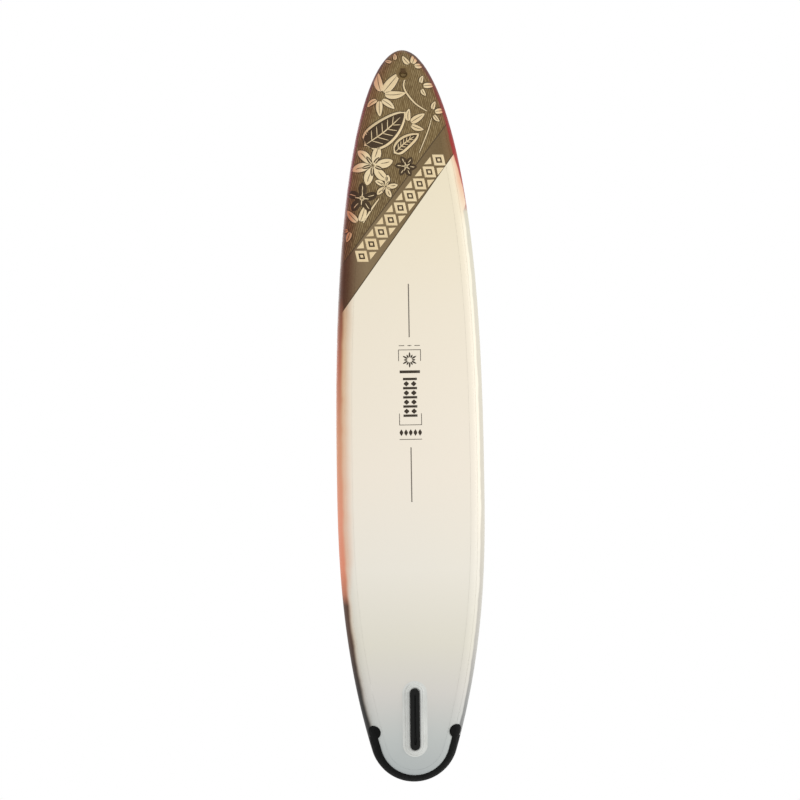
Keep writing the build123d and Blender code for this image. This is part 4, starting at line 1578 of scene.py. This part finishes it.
def make_tether(origin, forward, across, up):
    """A moulded strap from a ring round the valve's neck to one round the cap's knob."""
    low, top = 0.0051, 0.0125
    half, half_thick, corner = 0.004, 0.0007, 0.0006
    path = [(0.0270, low), (0.0340, low), (0.0410, low), (0.0445, low + 0.0004)]
    path += [(0.0460, low + 0.0022), (0.0462, (low + top) / 2), (0.0460, top - 0.0022)]
    path += [(0.0445, top - 0.0004), (0.0400, top), (0.0300, top), (0.0180, top), (0.0060, top)]
    work_points, work_faces = [], []

    def join(points, faces):
        start = len(work_points)
        work_points.extend(points)
        work_faces.extend([tuple(start + i for i in face) for face in faces])

    axes = (origin, forward, across, up)
    section = outline(half, half_thick, corner, 0, 4)
    join(*tube(sweep(axes, curve_points(path, 40), section)))
    for height, inner, outer in ((low, 0.0244, 0.0285), (top, 0.0033, 0.0070)):
        rings = []
        section = outline((outer - inner) / 2, half_thick, corner, 0, 4)
        for cosine, sine in circle(48):
            out = forward * cosine + across * sine
            middle = origin + out * ((inner + outer) / 2) + up * height
            rings.append([middle + out * s + up * t for s, t in section])
        join(*tube(rings, True))
    strap_piece = outward(new_object("cap_tether", work_points, work_faces, SEAL_RUBBER))
    sharpen(strap_piece, 50)
    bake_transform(strap_piece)
    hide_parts("valve_tether")


make_valve()


# ---------------------------------------------------------------- carried CAD nodes
def dress(node, material, width=0.0):
    """Gives a CAD node its material, and edges rounded by width where the real part has them."""
    obj = sharpen(dressed(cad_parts[node], material), 35)
    if width:
        bevel = obj.modifiers.new("rounded_edges", "BEVEL")
        bevel.width, bevel.segments = width, 2
        bevel.limit_method, bevel.angle_limit = "ANGLE", math.radians(35)
        bevel.harden_normals = False


DRESSED = {
    "drop_stitch_threads": (WEBBING,),
    "fin_box": (BOX_PLASTIC, 0.0004),
    "nose_ring": (COATED_RING,),
    "leash_ring": (STEEL,),
    "valve_body": (VALVE_BLACK, 0.0003),
    "valve_nut": (VALVE_GREY, 0.0003),
    "valve_stem": (VALVE_GREY,),
    "valve_seal": (SEAL_RUBBER,),
    "valve_cap": (VALVE_BLACK, 0.0003),
    "valve_cap_seal": (SEAL_RUBBER,),
}
for number in range(1, 5):
    DRESSED[f"cargo_ring_{number}"] = (STEEL,)
for node, look in DRESSED.items():
    dress(node, *look)


# ---------------------------------------------------------------- stage, camera and lights
def make_floor():
    """A wide pale floor under the board."""
    size, level = 30.0, -0.0015
    corners = [(x * size, y * size, level) for x, y in ((-1, -1), (1, -1), (1, 1), (-1, 1))]
    floor = new_object("studio_floor", corners, [(0, 1, 2, 3)], floor_material("studio_floor"))


def make_camera():
    """A long lens below the board, square to its underside, nose up in the picture.

    board_share is the board's share of the picture's height, and depth how far the plane that is
    measured lies beyond the target.
    """
    data = bpy.data.cameras.new("camera")
    camera = link("camera", data)
    bpy.context.scene.camera = camera
    distance, yaw, roll = 12.0, math.radians(-3.0), math.radians(0.93)
    board_share = 0.91875
    frame_height = LENGTH / board_share
    depth = 0.08
    data.sensor_width = 36.0
    data.lens = data.sensor_width * (distance + depth) / frame_height
    data.clip_end = 200.0
    target = Vector((0.073, -0.050, 0.05))
    back = Vector((0, math.sin(yaw), -math.cos(yaw)))
    up = Vector((math.cos(roll), math.sin(roll), 0))
    right = (-back).cross(up).normalized()
    up = right.cross(-back).normalized()
    camera.location = target + back * distance
    camera.rotation_mode = "QUATERNION"
    turn = Matrix((right, up, back)).transposed()
    camera.rotation_quaternion = turn.to_quaternion()


def area_light(name, place, aim, size, power):
    """A square soft light at place, facing aim, that the camera doesn't see."""
    data = bpy.data.lights.new(name, "AREA")
    data.shape, data.size, data.energy = "SQUARE", size, power
    light = link(name, data)
    light.location = place
    light.rotation_mode = "QUATERNION"
    direction = Vector(aim) - Vector(place)
    light.rotation_quaternion = direction.to_track_quat("-Z", "Y")
    light.visible_camera = False


def make_lights():
    """Soft light from above for the deck and from below for the underside."""
    area_light("key_above", (1.5, -3.0, 4.5), (0, 0, 0), 3.0, 70)
    area_light("fill_above", (-3.0, 3.5, 3.5), (0, 0, 0), 4.0, 30)
    area_light("key_below", (0.5, 6.0, -3.2), (-0.2, 0, 0), 2.5, 150)
    area_light("fill_below", (-2.0, -3.5, -6.0), (0, 0, 0), 5.0, 12)
    world = bpy.data.worlds.new("studio")
    bpy.context.scene.world = world
    world.use_nodes = True
    tree = world.node_tree
    room = tree.nodes["Background"]
    room.inputs["Color"].default_value = (1, 1, 1, 1)
    room.inputs["Strength"].default_value = 0.82
    backdrop = tree.nodes.new("ShaderNodeBackground")
    backdrop.inputs["Color"].default_value = (1, 1, 1, 1)
    both = tree.nodes.new("ShaderNodeMixShader")
    tree.links.new(tree.nodes.new("ShaderNodeLightPath").outputs["Is Camera Ray"], both.inputs[0])
    tree.links.new(room.outputs[0], both.inputs[1])
    tree.links.new(backdrop.outputs[0], both.inputs[2])
    tree.links.new(both.outputs[0], tree.nodes["World Output"].inputs["Surface"])


make_floor()
make_camera()
make_lights()
bpy.context.scene.view_settings.view_transform = "Standard"
